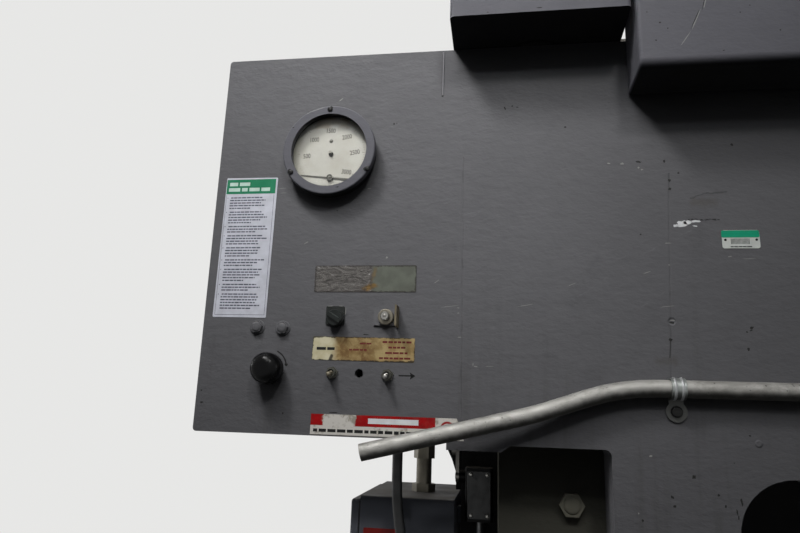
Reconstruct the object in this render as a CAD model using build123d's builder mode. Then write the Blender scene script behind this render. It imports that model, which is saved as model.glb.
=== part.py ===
from build123d import *
import os
from math import atan2, cos, degrees, pi, radians, sin, sqrt, tan

os.makedirs("parts", exist_ok=True)

# Axes: x runs along the bed, y from the front to the back, z up from the floor.
# The origin is the centre of the four anchor holes, on the floor.

# General clearances
seat_gap = 0.3                  # pieces that only rest in or on each other
running_gap = 0.1               # radial, between a shaft and its bore
turning_gap = 0.4               # between a turning control and what it turns against

# Ram, the thick plate that carries the punch and slides up and down
bend_length = 2036.0            # ram between the side frames, punch and die
ram_thickness = 65.0
ram_height = 820.0
stroke = 200.0
ear_bottom_drop = 564.0         # ram top to the underside of its ears
notch_drop = 556.0              # ram top to the top of the notch beside each ear
notch_slant = 11.0
notch_corner_r = 8.0
ear_width = 51.0                # from the notch to the joint with the control panel
ear_ledge = 18.0                # the ear's foot that the panel stands on
ear_ledge_drop = 553.0
access_hole_r = 67.0
access_hole_from_end = 207.0
access_hole_drop = 648.0

# Anchors and feet
anchor_span_y = 990.0
anchor_hole_r = 11.0
anchor_from_ram_face = 20.0
foot_thickness = 30.0
foot_width = 240.0
foot_past_anchor = 35.0

# Side frames
ram_end_gap = 26.0              # ram's lower end to the inner plate
inner_plate = 30.0
cell_width = 77.0               # space between the two plates
outer_plate = 60.0
outer_setback = 80.0            # outer plate's nose behind the inner plate's nose
throat_depth = 300.0            # behind the die line
throat_corner_r = 60.0
throat_above_ram_bottom = 60.0
frame_depth = 915.0             # lower arm, front to back
frame_back_plate = 30.0
frame_back_chamfer = 90.0
crown_inset = 220.0
crown_t = 40.0
crown_top_drop = 53.0           # below the frames' top
crown_height = 850.0
seat_above_ram = 3.0            # frames' top above the raised ram

# Bed and tooling
bed_top = 800.0
bed_bar = 50.0
bed_bar_width = 135.0
bed_bottom = 180.0
bed_overhang = 9.0              # bed's ends past the frames' outer faces
bed_chamfer = 120.0
holder_width = 100.0
holder_height = 50.0
slot_width = 26.0
slot_depth = 12.5
die_width = 60.0
die_height = 60.0
vee_width = 32.0
tool_angle = 88.0
punch_holder_height = 50.0
punch_tip_in_vee = 8.0
punch_height = 78.0             # holder to tip
punch_shoulder = 44.0
punch_shoulder_h = 18.0
punch_neck_h = 18.0
punch_blade = 20.0
punch_land = 1.0
tang_height = 30.0
clamp_screw_pitch = 127.0
clamp_screw_count = 15
clamp_screw_r = 6.0
clamp_screw_up = 25.0

# Guides
gib_clearance = 20.0            # ram's back to the gib plate
gib_thickness = 25.0
gib_lap = 5.0                   # past the outer plate's inner face
gib_width = 150.0
gib_above_throat = 10.0
gib_below_seat = 23.0
gib_bolt_margin = 119.0
gib_bolt_pitch = 120.0
gib_bolt_count = 5
gib_bolt_head = 28.6
gib_bolt_head_h = 12.0
gib_bolt_r = 9.5
gib_bolt_depth = 35.0
wear_width = 65.0
wear_inner_width = 30.0
wear_height = 490.0
wear_top_drop = 30.0
keeper_leg = 40.0
keeper_lip = 33.0
keeper_lip_t = 20.0
keeper_height = 440.0
keeper_top_drop = 50.0

# Cylinder housings, on top of the frames and over the ram
housing_width = 236.0
housing_lap = 8.0               # past the frame's outer face
housing_overhang = 77.0         # in front of the ram's face
housing_depth = 492.0
housing_height = 467.0
housing_wall = 20.0
housing_floor = 40.0
housing_corner_r = 6.0
rod_hole_r = 43.0

# Cylinders
bore_r = 62.5
barrel_r = 75.0
flange_r = 85.0
flange_t = 25.0
barrel_length = 372.0
cap_t = 40.0
gland_t = 40.0
rod_r = 40.0
piston_t = 50.0
piston_top_gap = 5.0
stud_r = 20.0
stud_length = 70.0
port_r = 18.0
port_length = 22.0
port_bore_r = 8.0
bottom_port_up = 57.0           # above the barrel's foot

# Front cover and crown beam between the housings
cover_end_gap = 5.0
cover_overhang = 80.0
cover_back_gap = 4.0
cover_bottom_drop = 86.0
cover_height = 336.0
cover_sheet = 5.0
cover_bend_r = 11.0
cover_side_bend_r = 5.0
beam_depth = 100.0
beam_height = 160.0
beam_wall = 10.0
beam_above_seat = 187.0

# Oil tank, motor, pump and valves
tank_end_gap = 140.0            # to each housing
tank_behind_beam = 44.0
tank_depth = 480.0
rear_rail_height = 47.0
tank_height = 280.0
tank_lid = 8.0
tank_lid_rim = 12.0
tank_wall = 6.0
rail_width = 40.0
rail_inset = 10.0
front_rail_height = 40.0
motor_from_tank_front = 140.0
motor_axis_height = 124.0
motor_r = 98.0
motor_length = 230.0
motor_x = -250.0
fin_count = 28
fin_depth = 12.0
fin_t = 4.0
cowl_length = 60.0
cowl_wall = 3.0
fan_r = 80.0
fan_blades = 7
motor_foot_spread = 180.0
motor_foot_width = 44.0
motor_foot_t = 12.0
motor_end_t = 20.0
motor_box_size = (90.0, 65.0, 80.0)
shaft_r = 14.0
adapter_length = 90.0
adapter_r = 80.0
adapter_wall = 12.0
coupling_r = 38.0
coupling_length = 50.0
pump_length = 95.0
pump_r = 55.0
manifold_x = 450.0
manifold_from_tank_back = 85.0
manifold_size = (180.0, 120.0, 80.0)
valve_size = (70.0, 90.0, 50.0)
coil_r = 22.0
coil_length = 62.0
pipe_r = 11.0
pipe_bend_r = 50.0
pull_pipe_up = 20.0             # above the tank's lid
push_pipe_up = 65.0
pull_pipe_behind = 36.0
filler_from_end = 193.0
filler_from_front = 255.0
filler_r = 26.0
filler_neck = 40.0
filler_cap = 24.0
pull_drop_behind_port = 185.5

# Control panel, welded to the ram's left end
panel_width = 361.0
panel_thickness = 20.0
panel_corner_r = 5.0
rib_thickness = 12.0
rib_depth = 30.0
rib_inset = 40.0
back_box_left = 60.0            # from the panel's left edge
back_box_width = 270.0
back_box_depth = 80.0
back_box_foot = 43.0            # above the panel's lower edge
back_box_head = 60.0            # below its upper edge
back_box_wall = 3.0

# Gauge on the panel
gauge_from_seam = 190.0
gauge_from_top = 160.0
gauge_ring_r = 67.2
gauge_window_r = 54.7
gauge_front = 22.7
gauge_ring_depth = 9.0
gauge_case_r = 65.0
gauge_screw_circle = 63.0
gauge_screw_r = 2.6
gauge_stem_r = 7.0
gauge_dial_depth = 8.0
gauge_glass_depth = 15.5
gauge_glass_t = 2.0
gauge_spindle_r = 2.2
gauge_spindle_proud = 5.0
pointer_angle = -6.5
pointer_drop = 37.5
pointer_hub_r = 4.5

# Controls on the panel: each place is (left of the joint with the ram, above the lower edge)
speed_knob_at = (256.5, 84.5)
speed_knob_r = 20.8
speed_knob_depth = 30.0
speed_knob_gap = 7.0
speed_stem_r = 6.0
selector_at = (170.0, 154.5)
selector_r = 11.2
selector_depth = 13.0
selector_bar = 5.0
selector_bar_depth = 4.0
selector_angle = -32.0
selector_stem_r = 5.0
selector_plate = (26.0, 25.0)
selector_plate_rise = 4.5
button_at = (101.2, 157.1)
button_r = 5.9
button_proud = 16.0
collar_r = 10.8
collar_depth = 4.5
bracket_t = 2.5
bracket_left = 17.0
bracket_right = 17.0
bracket_half_height = 11.0
bracket_tab_depth = 22.0
bracket_tab_height = 28.0
toggle_left_at = (171.8, 82.0)
toggle_right_at = (96.7, 80.6)
toggle_nut = 14.3
toggle_nut_t = 3.0
toggle_bush_r = 5.8
toggle_bush_proud = 9.0
toggle_bush_bore_r = 4.2
toggle_lever_r = 2.4
toggle_tip_r = 3.4
toggle_reach = 14.0             # from the ball to the middle of the tip
toggle_pivot_in = 4.5           # the ball's middle, behind the bush's mouth
toggle_bore_depth = 10.0
toggle_rest_tilt = 11.0
spare_hole_at = (135.2, 82.0)
spare_hole_r = 5.7
panel_bolts_at = ((281.4, 141.7), (244.7, 140.5))
panel_bolt_head = 14.3
panel_bolt_h = 6.0
panel_bolt_r = 4.7

# Steel conduit along the ram's face, and its straps
conduit_r = 10.65
conduit_wall = 2.6
conduit_drop = 481.0            # below the ram's top
conduit_right_inset = 68.0      # from the ram's lower right end
conduit_bend_a = 197.4          # right of the joint with the panel
conduit_bend_b = (-92.0, 19.0, 35.7)    # left of the joint, proud of the face, down
conduit_end = (120.7, 38.0, 88.7)
conduit_bend_ra = 250.0
conduit_bend_rb = 320.0
first_strap = 261.5             # right of the joint with the panel
last_strap = 90.5               # left of the conduit's right end
strap_count = 4
strap_width = 17.0
strap_t = 2.2
strap_ear_drop = 27.0
strap_ear_r = 12.5
strap_screw_r = 3.2
strap_screw_head_r = 6.8
strap_screw_head_h = 4.0

# Electrical enclosure on the left frame
enclosure_depth = 135.0         # along x
enclosure_width = 230.0         # along y
enclosure_height = 400.0
enclosure_above_throat = 122.0
enclosure_wall = 3.0
enclosure_standoff = 6.0
enclosure_behind_face = 120.0
door_t = 11.0
door_drop = 5.0
door_front_lip = 2.0
door_back_gap = 3.0
gasket_t = 2.0
knuckle_r = 5.0
hinge_leaf = 3.0
knuckle_length = 18.0
hinge_pin_r = 2.5
hinge_spread = 260.0
gear_plate_t = 3.0
gear_pad_t = 12.0
gear_margin = 25.0              # plate to the enclosure's walls
gear_pad_in = 15.0
gear_row_pitch = 110.0
gear_first_row = 85.0           # below the enclosure's top
gear_rows = ((150.0, 70.0, 70.0), (130.0, 60.0, 60.0), (160.0, 40.0, 40.0))
fitting_inset = (55.0, 100.0)   # from the enclosure's right side and its front
fitting_height = 72.0
fitting_nut = 32.0
fitting_body_r = 12.0
hose_a_r = 7.0
hose_b_r = 10.0

# Limit switch on the left frame's nose
switch_inset = 28.0             # from the frame's outer face
switch_size = (40.0, 38.0, 75.0)
switch_above_throat = 90.0
lever_length = 38.0
lever_t = 5.0
roller_r = 8.0
roller_t = 6.0
flex_r = 7.0

# Places that follow from the sizes above, along the machine
half_bend = bend_length / 2
inner_face = half_bend + ram_end_gap
notch_outer = inner_face + inner_plate + cell_width
outer_face = notch_outer + outer_plate
cell_centre = inner_face + inner_plate + cell_width / 2
seam_x = notch_outer + ear_width
panel_left = -(seam_x + panel_width)
access_hole_x = half_bend - access_hole_from_end
bed_half = outer_face + bed_overhang
gib_outer = notch_outer + gib_lap
gib_inner = gib_outer - gib_width
gib_bolt_x = inner_face + inner_plate / 2
housing_centre = outer_face + housing_lap - housing_width / 2
beam_half = housing_centre - housing_width / 2
cover_half = beam_half - cover_end_gap
tank_half = beam_half - tank_end_gap

# Places up the machine, from the bed to the raised ram and what stands over it
arm_top = bed_top - bed_bar
die_top = bed_top + holder_height + die_height
punch_tip = die_top - punch_tip_in_vee + stroke
holder_bottom = punch_tip + punch_height
ram_bottom = holder_bottom + punch_holder_height
ram_top = ram_bottom + ram_height
panel_bottom = ram_top - ear_ledge_drop
throat_top = ram_bottom + throat_above_ram_bottom
seat_z = ram_top + seat_above_ram
gib_bottom = throat_top + gib_above_throat
gib_top = seat_z - gib_below_seat
gib_bolt_first = gib_bottom + gib_bolt_margin
beam_bottom = seat_z + beam_above_seat
tank_bottom = seat_z + rear_rail_height
tank_top = tank_bottom + tank_height

# Places from the front to the back
ram_face_y = -(anchor_span_y / 2 + anchor_from_ram_face)
ram_back_y = ram_face_y + ram_thickness
die_y = ram_face_y + ram_thickness / 2
gib_front_y = ram_back_y + gib_clearance
gib_back_y = gib_front_y + gib_thickness
inner_nose_y = gib_back_y
outer_nose_y = inner_nose_y + outer_setback
throat_back_y = die_y + throat_depth
frame_back_y = ram_back_y + frame_depth
panel_back_y = ram_face_y + panel_thickness
cover_back_y = ram_face_y - cover_back_gap
tank_front_y = cover_back_y + beam_depth + tank_behind_beam
motor_y = tank_front_y + motor_from_tank_front
manifold_y = tank_front_y + tank_depth - manifold_from_tank_back


def on_panel(spot):
    """x and z of a spot given from the panel's joint with the ram and its lower edge."""
    return (-(seam_x + spot[0]), panel_bottom + spot[1])


def from_seam(spot):
    """A point given left of the panel's joint, proud of the ram's face and down."""
    left, proud, down = spot
    return (-(seam_x + left), ram_face_y - proud, conduit_z - down)


def front_plane(y):
    """Upright plane seen from the front; an extrusion from it comes forward."""
    return Plane.XZ.offset(-y)


def nearest(*spots):
    """Corners of the sketch being drawn that lie nearest to the spots."""
    return [vertices().sort_by_distance(spot)[0] for spot in spots]


def block(x0, x1, y0, y1, z0, z1, mode=Mode.ADD):
    """A plain block between two corners, in the part being made."""
    with Locations(((x0 + x1) / 2, (y0 + y1) / 2, (z0 + z1) / 2)):
        Box(x1 - x0, y1 - y0, z1 - z0, mode=mode)


def disc(x, z, y_back, y_front, radius, mode=Mode.ADD):
    """A round disc or hole seen from the front, between two depths."""
    with BuildSketch(front_plane(y_back)) as outline:
        with Locations((x, z)):
            Circle(radius)
    extrude(outline.sketch, amount=y_back - y_front, mode=mode)


def hexagon(x, z, y_back, y_front, across_flats, turn=0.0):
    """A hexagon head or nut seen from the front, between two depths."""
    with BuildSketch(front_plane(y_back)) as outline:
        with Locations(Location((x, z), turn)):
            RegularPolygon(across_flats / 2, 6, major_radius=False)
    extrude(outline.sketch, amount=y_back - y_front)


def rod_along(path_points, radii, radius, bore=0.0):
    """A round rod or tube along straight runs joined by arcs."""
    with BuildLine() as path:
        FilletPolyline(*path_points, radius=radii)
    with BuildSketch(Plane(origin=path_points[0], z_dir=path.line % 0)) as outline:
        Circle(radius)
        if bore:
            Circle(bore, mode=Mode.SUBTRACT)
    sweep(outline.sketch, path=path.line)


def tube_radii(points):
    """The largest even arcs for a hose: 0.45 of the shorter run at each corner."""
    found = []
    for before, corner, after in zip(points, points[1:], points[2:]):
        run_in = Vector(*corner) - Vector(*before)
        run_out = Vector(*after) - Vector(*corner)
        turn = radians(run_in.get_angle(run_out))
        found.append(0.45 * min(run_in.length, run_out.length) / tan(turn / 2))
    return found


def save(piece, name):
    """Label a finished piece and write it as its own file."""
    piece.part.label = name
    export_step(piece.part, "parts/" + name + ".step")


def save_mirrored(piece, name):
    """Write the right-hand twin of a left-hand piece."""
    with BuildPart() as twin:
        mirror(piece.part, about=Plane.YZ)
    save(twin, name)
    return twin


# Side frame: outer and inner C plates, a back plate and a foot, welded
with BuildPart() as side_frame_left:
    plates = (
        (-outer_face, outer_plate, outer_nose_y),
        (-inner_face - inner_plate, inner_plate, inner_nose_y),
    )
    for plate_x, plate_t, nose_y in plates:
        with BuildSketch(Plane.YZ.offset(plate_x)):
            with BuildLine():
                Polyline(
                    (ram_back_y, foot_thickness),
                    (ram_back_y, arm_top),
                    (throat_back_y, arm_top),
                    (throat_back_y, throat_top),
                    (nose_y, throat_top),
                    (nose_y, seat_z),
                    (frame_back_y, seat_z),
                    (frame_back_y, foot_thickness),
                    close=True,
                )
            make_face()
            fillet(
                nearest((throat_back_y, arm_top), (throat_back_y, throat_top)), throat_corner_r,
            )
            chamfer(nearest((frame_back_y, seat_z)), frame_back_chamfer)
        extrude(amount=plate_t)
    block(
        -cell_centre - cell_width / 2, -cell_centre + cell_width / 2,
        frame_back_y - frame_back_plate, frame_back_y,
        foot_thickness, seat_z - frame_back_chamfer,
    )
    block(
        -cell_centre - foot_width / 2, -cell_centre + foot_width / 2,
        -anchor_span_y / 2 - foot_past_anchor, anchor_span_y / 2 + foot_past_anchor,
        0, foot_thickness,
    )
    with Locations((-cell_centre, 0, foot_thickness)):
        with GridLocations(1, anchor_span_y, 1, 2):
            Hole(anchor_hole_r)
    for level in range(gib_bolt_count):
        bolt_z = gib_bolt_first + level * gib_bolt_pitch
        disc(
            -gib_bolt_x, bolt_z, inner_nose_y + gib_bolt_depth + 2, inner_nose_y,
            gib_bolt_r + running_gap, mode=Mode.SUBTRACT,
        )
save(side_frame_left, "side_frame_left")
save_mirrored(side_frame_left, "side_frame_right")

# Gib plates, bolted to the inner plates' noses
with BuildPart() as gib_plates:
    for side in (-1, 1):
        edges_x = sorted((side * gib_inner, side * gib_outer))
        block(*edges_x, gib_front_y, gib_back_y, gib_bottom, gib_top)
    chamfer(gib_plates.edges().filter_by(Axis.Z).group_by(Axis.Y)[0], 2)
    for side in (-1, 1):
        for level in range(gib_bolt_count):
            bolt_z = gib_bolt_first + level * gib_bolt_pitch
            disc(
                side * gib_bolt_x, bolt_z, gib_back_y, gib_front_y,
                gib_bolt_r + turning_gap, mode=Mode.SUBTRACT,
            )
save(gib_plates, "gib_plates")

with BuildPart() as gib_bolts:
    for side in (-1, 1):
        for level in range(gib_bolt_count):
            bolt_z = gib_bolt_first + level * gib_bolt_pitch
            hexagon(
                side * gib_bolt_x, bolt_z, gib_front_y, gib_front_y - gib_bolt_head_h,
                gib_bolt_head, turn=12.0 * level,
            )
            disc(side * gib_bolt_x, bolt_z, gib_back_y + gib_bolt_depth, gib_front_y, gib_bolt_r)
save(gib_bolts, "gib_bolts")

# Bed: a deep plate in front of the frames with a thick bar along its top
with BuildPart() as bed:
    with BuildSketch(front_plane(ram_back_y)):
        with BuildLine():
            Polyline(
                (-bed_half, arm_top),
                (bed_half, arm_top),
                (bed_half, bed_bottom + bed_chamfer),
                (bed_half - bed_chamfer, bed_bottom),
                (-bed_half + bed_chamfer, bed_bottom),
                (-bed_half, bed_bottom + bed_chamfer),
                close=True,
            )
        make_face()
    extrude(amount=ram_thickness)
    block(
        -bed_half, bed_half, die_y - bed_bar_width / 2, die_y + bed_bar_width / 2,
        arm_top, bed_top,
    )
save(bed, "bed")

with BuildPart() as die_holder:
    block(
        -half_bend, half_bend, die_y - holder_width / 2, die_y + holder_width / 2,
        bed_top, bed_top + holder_height,
    )
    chamfer(die_holder.edges().filter_by(Axis.X).group_by(Axis.Z)[-1], 6)
    block(
        -half_bend, half_bend, die_y - slot_width / 2, die_y + slot_width / 2,
        bed_top + holder_height - slot_depth, bed_top + holder_height, mode=Mode.SUBTRACT,
    )
save(die_holder, "die_holder")

vee_depth = vee_width / 2 / tan(radians(tool_angle / 2))
tongue_half = slot_width / 2 - seat_gap
tongue_bottom = bed_top + holder_height - slot_depth + seat_gap
with BuildPart() as lower_die:
    with BuildSketch(Plane.YZ.offset(-half_bend)):
        with BuildLine():
            Polyline(
                (die_y - tongue_half, tongue_bottom),
                (die_y + tongue_half, tongue_bottom),
                (die_y + tongue_half, bed_top + holder_height),
                (die_y + die_width / 2, bed_top + holder_height),
                (die_y + die_width / 2, die_top),
                (die_y + vee_width / 2, die_top),
                (die_y, die_top - vee_depth),
                (die_y - vee_width / 2, die_top),
                (die_y - die_width / 2, die_top),
                (die_y - die_width / 2, bed_top + holder_height),
                (die_y - tongue_half, bed_top + holder_height),
                close=True,
            )
        make_face()
        chamfer(nearest((die_y - die_width / 2, die_top), (die_y + die_width / 2, die_top)), 3)
    extrude(amount=bend_length)
save(lower_die, "lower_die")

# Rear crown plate ties the two frames together behind the ram
with BuildPart() as rear_crown:
    block(
        -inner_face, inner_face, frame_back_y - crown_inset - crown_t,
        frame_back_y - crown_inset, seat_z - crown_top_drop - crown_height,
        seat_z - crown_top_drop,
    )
    chamfer(rear_crown.edges().filter_by(Axis.X), 3)
save(rear_crown, "rear_crown")

# Cylinder housing: a heavy welded box, open at the back, over each frame
housing_front_y = ram_face_y - housing_overhang
with BuildPart() as cylinder_housing_left:
    block(
        -housing_centre - housing_width / 2, -housing_centre + housing_width / 2,
        housing_front_y, housing_front_y + housing_depth, seat_z, seat_z + housing_height,
    )
    front_uprights = cylinder_housing_left.edges().filter_by(Axis.Z).group_by(Axis.Y)[0]
    fillet(front_uprights, housing_corner_r)
    block(
        -housing_centre - housing_width / 2 + housing_wall,
        -housing_centre + housing_width / 2 - housing_wall,
        housing_front_y + housing_wall, housing_front_y + housing_depth,
        seat_z + housing_floor, seat_z + housing_height - housing_wall, mode=Mode.SUBTRACT,
    )
    with Locations((-housing_centre, die_y, seat_z)):
        Cylinder(rod_hole_r, 3 * housing_floor, mode=Mode.SUBTRACT)
save(cylinder_housing_left, "cylinder_housing_left")
save_mirrored(cylinder_housing_left, "cylinder_housing_right")

# Hydraulic cylinder: flange, barrel and cap with two ports at the back
barrel_bottom = seat_z + housing_floor
barrel_top = barrel_bottom + barrel_length
bottom_port_z = barrel_bottom + bottom_port_up
top_port_z = barrel_top - cap_t / 2
with BuildPart() as cylinder_left_body:
    with BuildSketch(Plane((-housing_centre, die_y, 0), x_dir=(1, 0, 0), z_dir=(0, -1, 0))):
        with BuildLine():
            Polyline(
                (rod_r + running_gap, barrel_bottom),
                (flange_r, barrel_bottom),
                (flange_r, barrel_bottom + flange_t),
                (barrel_r, barrel_bottom + flange_t),
                (barrel_r, barrel_top - cap_t),
                (barrel_r + 5, barrel_top - cap_t),
                (barrel_r + 5, barrel_top),
                (0, barrel_top),
                (0, barrel_top - cap_t),
                (bore_r, barrel_top - cap_t),
                (bore_r, barrel_bottom + gland_t),
                (rod_r + running_gap, barrel_bottom + gland_t),
                close=True,
            )
        make_face()
    revolve(axis=Axis((-housing_centre, die_y, 0), (0, 0, 1)))
    for port_z in (bottom_port_z, top_port_z):
        with Locations(
            Location((-housing_centre, die_y + barrel_r + port_length / 2 - 3, port_z), (90, 0, 0))
        ):
            Cylinder(port_r, port_length + 6)
    for port_z in (bottom_port_z, top_port_z):
        with Locations(
            Location((-housing_centre, die_y + barrel_r + port_length / 2, port_z), (90, 0, 0))
        ):
            Cylinder(port_bore_r, port_length + 40, mode=Mode.SUBTRACT)
    with Locations((-housing_centre, die_y + bore_r - 6, top_port_z - cap_t / 2)):
        Cylinder(5, cap_t, mode=Mode.SUBTRACT)
with BuildPart() as cylinders:
    add(cylinder_left_body.part)
    mirror(cylinder_left_body.part, about=Plane.YZ)
save(cylinders, "cylinders")

# Piston and rod, screwed into the ram's top edge
piston_top = barrel_top - cap_t - piston_top_gap
with BuildPart() as left_rod:
    with BuildSketch(Plane((-housing_centre, die_y, 0), x_dir=(1, 0, 0), z_dir=(0, -1, 0))):
        with BuildLine():
            Polyline(
                (0, ram_top - stud_length),
                (stud_r, ram_top - stud_length),
                (stud_r, ram_top),
                (rod_r, ram_top),
                (rod_r, piston_top - piston_t),
                (bore_r - running_gap, piston_top - piston_t),
                (bore_r - running_gap, piston_top),
                (0, piston_top),
                close=True,
            )
        make_face()
    revolve(axis=Axis((-housing_centre, die_y, 0), (0, 0, 1)))
with BuildPart() as piston_rods:
    add(left_rod.part)
    mirror(left_rod.part, about=Plane.YZ)
save(piston_rods, "piston_rods")

# Ram plate: ears over the frames, a notch beside each, access holes and rod holes
with BuildPart() as ram_plate:
    with BuildSketch(front_plane(ram_back_y)):
        with BuildLine():
            ear_z = ram_top - ear_bottom_drop
            notch_z = ram_top - notch_drop
            Polyline(
                (-seam_x, ram_top),
                (-seam_x, panel_bottom),
                (-seam_x - ear_ledge, panel_bottom),
                (-seam_x - ear_ledge, ear_z),
                (-notch_outer, ear_z),
                (-notch_outer + notch_slant, notch_z),
                (-half_bend, notch_z),
                (-half_bend, ram_bottom),
                (half_bend, ram_bottom),
                (half_bend, notch_z),
                (notch_outer - notch_slant, notch_z),
                (notch_outer, ear_z),
                (seam_x, ear_z),
                (seam_x, ram_top),
                close=True,
            )
        make_face()
        fillet(nearest((-half_bend, notch_z), (half_bend, notch_z)), notch_corner_r)
        with Locations(
            (-access_hole_x, ram_top - access_hole_drop),
            (access_hole_x, ram_top - access_hole_drop),
        ):
            Circle(access_hole_r, mode=Mode.SUBTRACT)
    extrude(amount=ram_thickness)
    for side in (-1, 1):
        with Locations((side * housing_centre, die_y, ram_top - stud_length / 2)):
            Cylinder(stud_r + seat_gap, stud_length + 2 * seat_gap, mode=Mode.SUBTRACT)
save(ram_plate, "ram_plate")

# Guide bars bolted to the ram's back: wear strips that run against the gib plates either
# side of their bolts, and keepers that hook behind the plates
wear_top = ram_top - wear_top_drop
keeper_top = ram_top - keeper_top_drop
lip_front = gib_back_y + seat_gap
with BuildPart() as ram_guides:
    for side in (-1, 1):
        wear_outer = side * (notch_outer - seat_gap)
        wear_ends = (
            (wear_outer, wear_outer - side * wear_width),
            (side * gib_inner, side * (gib_inner + wear_inner_width)),
        )
        for ends in wear_ends:
            block(
                *sorted(ends), ram_back_y, gib_front_y - seat_gap,
                wear_top - wear_height, wear_top,
            )
        leg_outer = side * (gib_inner - seat_gap)
        leg = sorted((leg_outer, leg_outer - side * keeper_leg))
        lip = sorted((leg_outer, leg_outer + side * keeper_lip))
        levels = (keeper_top - keeper_height, keeper_top)
        block(*leg, ram_back_y, lip_front + keeper_lip_t, *levels)
        block(*lip, lip_front, lip_front + keeper_lip_t, *levels)
save(ram_guides, "ram_guides")

# Punch holder under the ram, its clamping screws, and the punch
tang_half = slot_width / 2 - seat_gap
screw_level = holder_bottom + clamp_screw_up
screw_places = [
    (index - (clamp_screw_count - 1) / 2) * clamp_screw_pitch
    for index in range(clamp_screw_count)
]
with BuildPart() as punch_holder:
    block(-half_bend, half_bend, ram_face_y, ram_back_y, holder_bottom, ram_bottom)
    chamfer(punch_holder.edges().filter_by(Axis.X).group_by(Axis.Z)[0], 8)
    block(
        -half_bend, half_bend, die_y - slot_width / 2, die_y + slot_width / 2,
        holder_bottom, holder_bottom + tang_height, mode=Mode.SUBTRACT,
    )
    for screw_x in screw_places:
        disc(
            screw_x, screw_level, die_y - slot_width / 2, ram_face_y,
            clamp_screw_r + running_gap, mode=Mode.SUBTRACT,
        )
save(punch_holder, "punch_holder")

with BuildPart() as clamp_screws:
    for screw_x in screw_places:
        disc(screw_x, screw_level, die_y - slot_width / 2, ram_face_y, clamp_screw_r)
        with BuildSketch(front_plane(ram_face_y)):
            with Locations((screw_x, screw_level)):
                Rectangle(2 * clamp_screw_r, 2 * clamp_screw_r)
        extrude(amount=2 * clamp_screw_r)
save(clamp_screws, "clamp_screws")

flank = tan(radians(tool_angle / 2))
blade_taper = (punch_blade / 2 - punch_land / 2) / flank
neck_bottom = holder_bottom - punch_shoulder_h - punch_neck_h
with BuildPart() as punch:
    with BuildSketch(Plane.YZ.offset(-half_bend)):
        with BuildLine():
            Polyline(
                (die_y - tang_half, holder_bottom + tang_height - seat_gap),
                (die_y + tang_half, holder_bottom + tang_height - seat_gap),
                (die_y + tang_half, holder_bottom),
                (die_y + punch_shoulder / 2, holder_bottom),
                (die_y + punch_shoulder / 2, holder_bottom - punch_shoulder_h),
                (die_y + punch_blade / 2, neck_bottom),
                (die_y + punch_blade / 2, punch_tip + blade_taper),
                (die_y + punch_land / 2, punch_tip),
                (die_y - punch_land / 2, punch_tip),
                (die_y - punch_blade / 2, punch_tip + blade_taper),
                (die_y - punch_blade / 2, neck_bottom),
                (die_y - punch_shoulder / 2, holder_bottom - punch_shoulder_h),
                (die_y - punch_shoulder / 2, holder_bottom),
                (die_y - tang_half, holder_bottom),
                close=True,
            )
        make_face()
    extrude(amount=bend_length)
save(punch, "punch")

# Front cover: a folded sheet pan, open at the back, in front of the raised ram
cover_front_y = ram_face_y - cover_overhang
cover_bottom = ram_top - cover_bottom_drop
with BuildPart() as front_cover:
    block(
        -cover_half, cover_half, cover_front_y, cover_back_y,
        cover_bottom, cover_bottom + cover_height,
    )
    front_edges = front_cover.edges().filter_by(Axis.X).group_by(Axis.Y)[0]
    fillet(front_edges, cover_bend_r)
    side_edges = front_cover.edges().filter_by(Axis.Z).group_by(Axis.Y)[0]
    fillet(side_edges, cover_side_bend_r)
    block(
        -cover_half + cover_sheet, cover_half - cover_sheet,
        cover_front_y + cover_sheet, cover_back_y,
        cover_bottom + cover_sheet, cover_bottom + cover_height - cover_sheet,
        mode=Mode.SUBTRACT,
    )
    block(
        -cover_half + cover_sheet, cover_half - cover_sheet, cover_back_y - cover_sheet,
        cover_back_y, cover_bottom + cover_height - 60, cover_bottom + cover_height,
    )
save(front_cover, "front_cover")

# Crown beam between the housings, which carries the cover
with BuildPart() as crown_beam:
    block(
        -beam_half, beam_half, cover_back_y, cover_back_y + beam_depth,
        beam_bottom, beam_bottom + beam_height,
    )
    block(
        -beam_half, beam_half, cover_back_y + beam_wall, cover_back_y + beam_depth - beam_wall,
        beam_bottom + beam_wall, beam_bottom + beam_height - beam_wall, mode=Mode.SUBTRACT,
    )
save(crown_beam, "crown_beam")

# Oil tank: a welded box with its lid flange, on two cross rails welded under it
filler_at = (-tank_half + filler_from_end, tank_front_y + filler_from_front)
with BuildPart() as oil_tank:
    block(
        -tank_half, tank_half, tank_front_y, tank_front_y + tank_depth,
        tank_bottom, tank_top - tank_lid,
    )
    fillet(oil_tank.edges().filter_by(Axis.Z), 20)
    block(
        -tank_half - tank_lid_rim, tank_half + tank_lid_rim, tank_front_y - tank_lid_rim,
        tank_front_y + tank_depth + tank_lid_rim, tank_top - tank_lid, tank_top,
    )
    front_rail_y = tank_front_y + rail_inset
    block(
        -beam_half, beam_half, front_rail_y, front_rail_y + rail_width,
        tank_bottom - front_rail_height, tank_bottom,
    )
    rear_rail_y = tank_front_y + tank_depth - rail_inset - rail_width
    block(-outer_face, outer_face, rear_rail_y, rear_rail_y + rail_width, seat_z, tank_bottom)
    block(
        -tank_half + tank_wall, tank_half - tank_wall,
        tank_front_y + tank_wall, tank_front_y + tank_depth - tank_wall,
        tank_bottom + tank_wall, tank_top - tank_lid, mode=Mode.SUBTRACT,
    )
    with Locations((*filler_at, tank_top)):
        Cylinder(filler_r - 6, 3 * tank_lid, mode=Mode.SUBTRACT)
save(oil_tank, "oil_tank")

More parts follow.
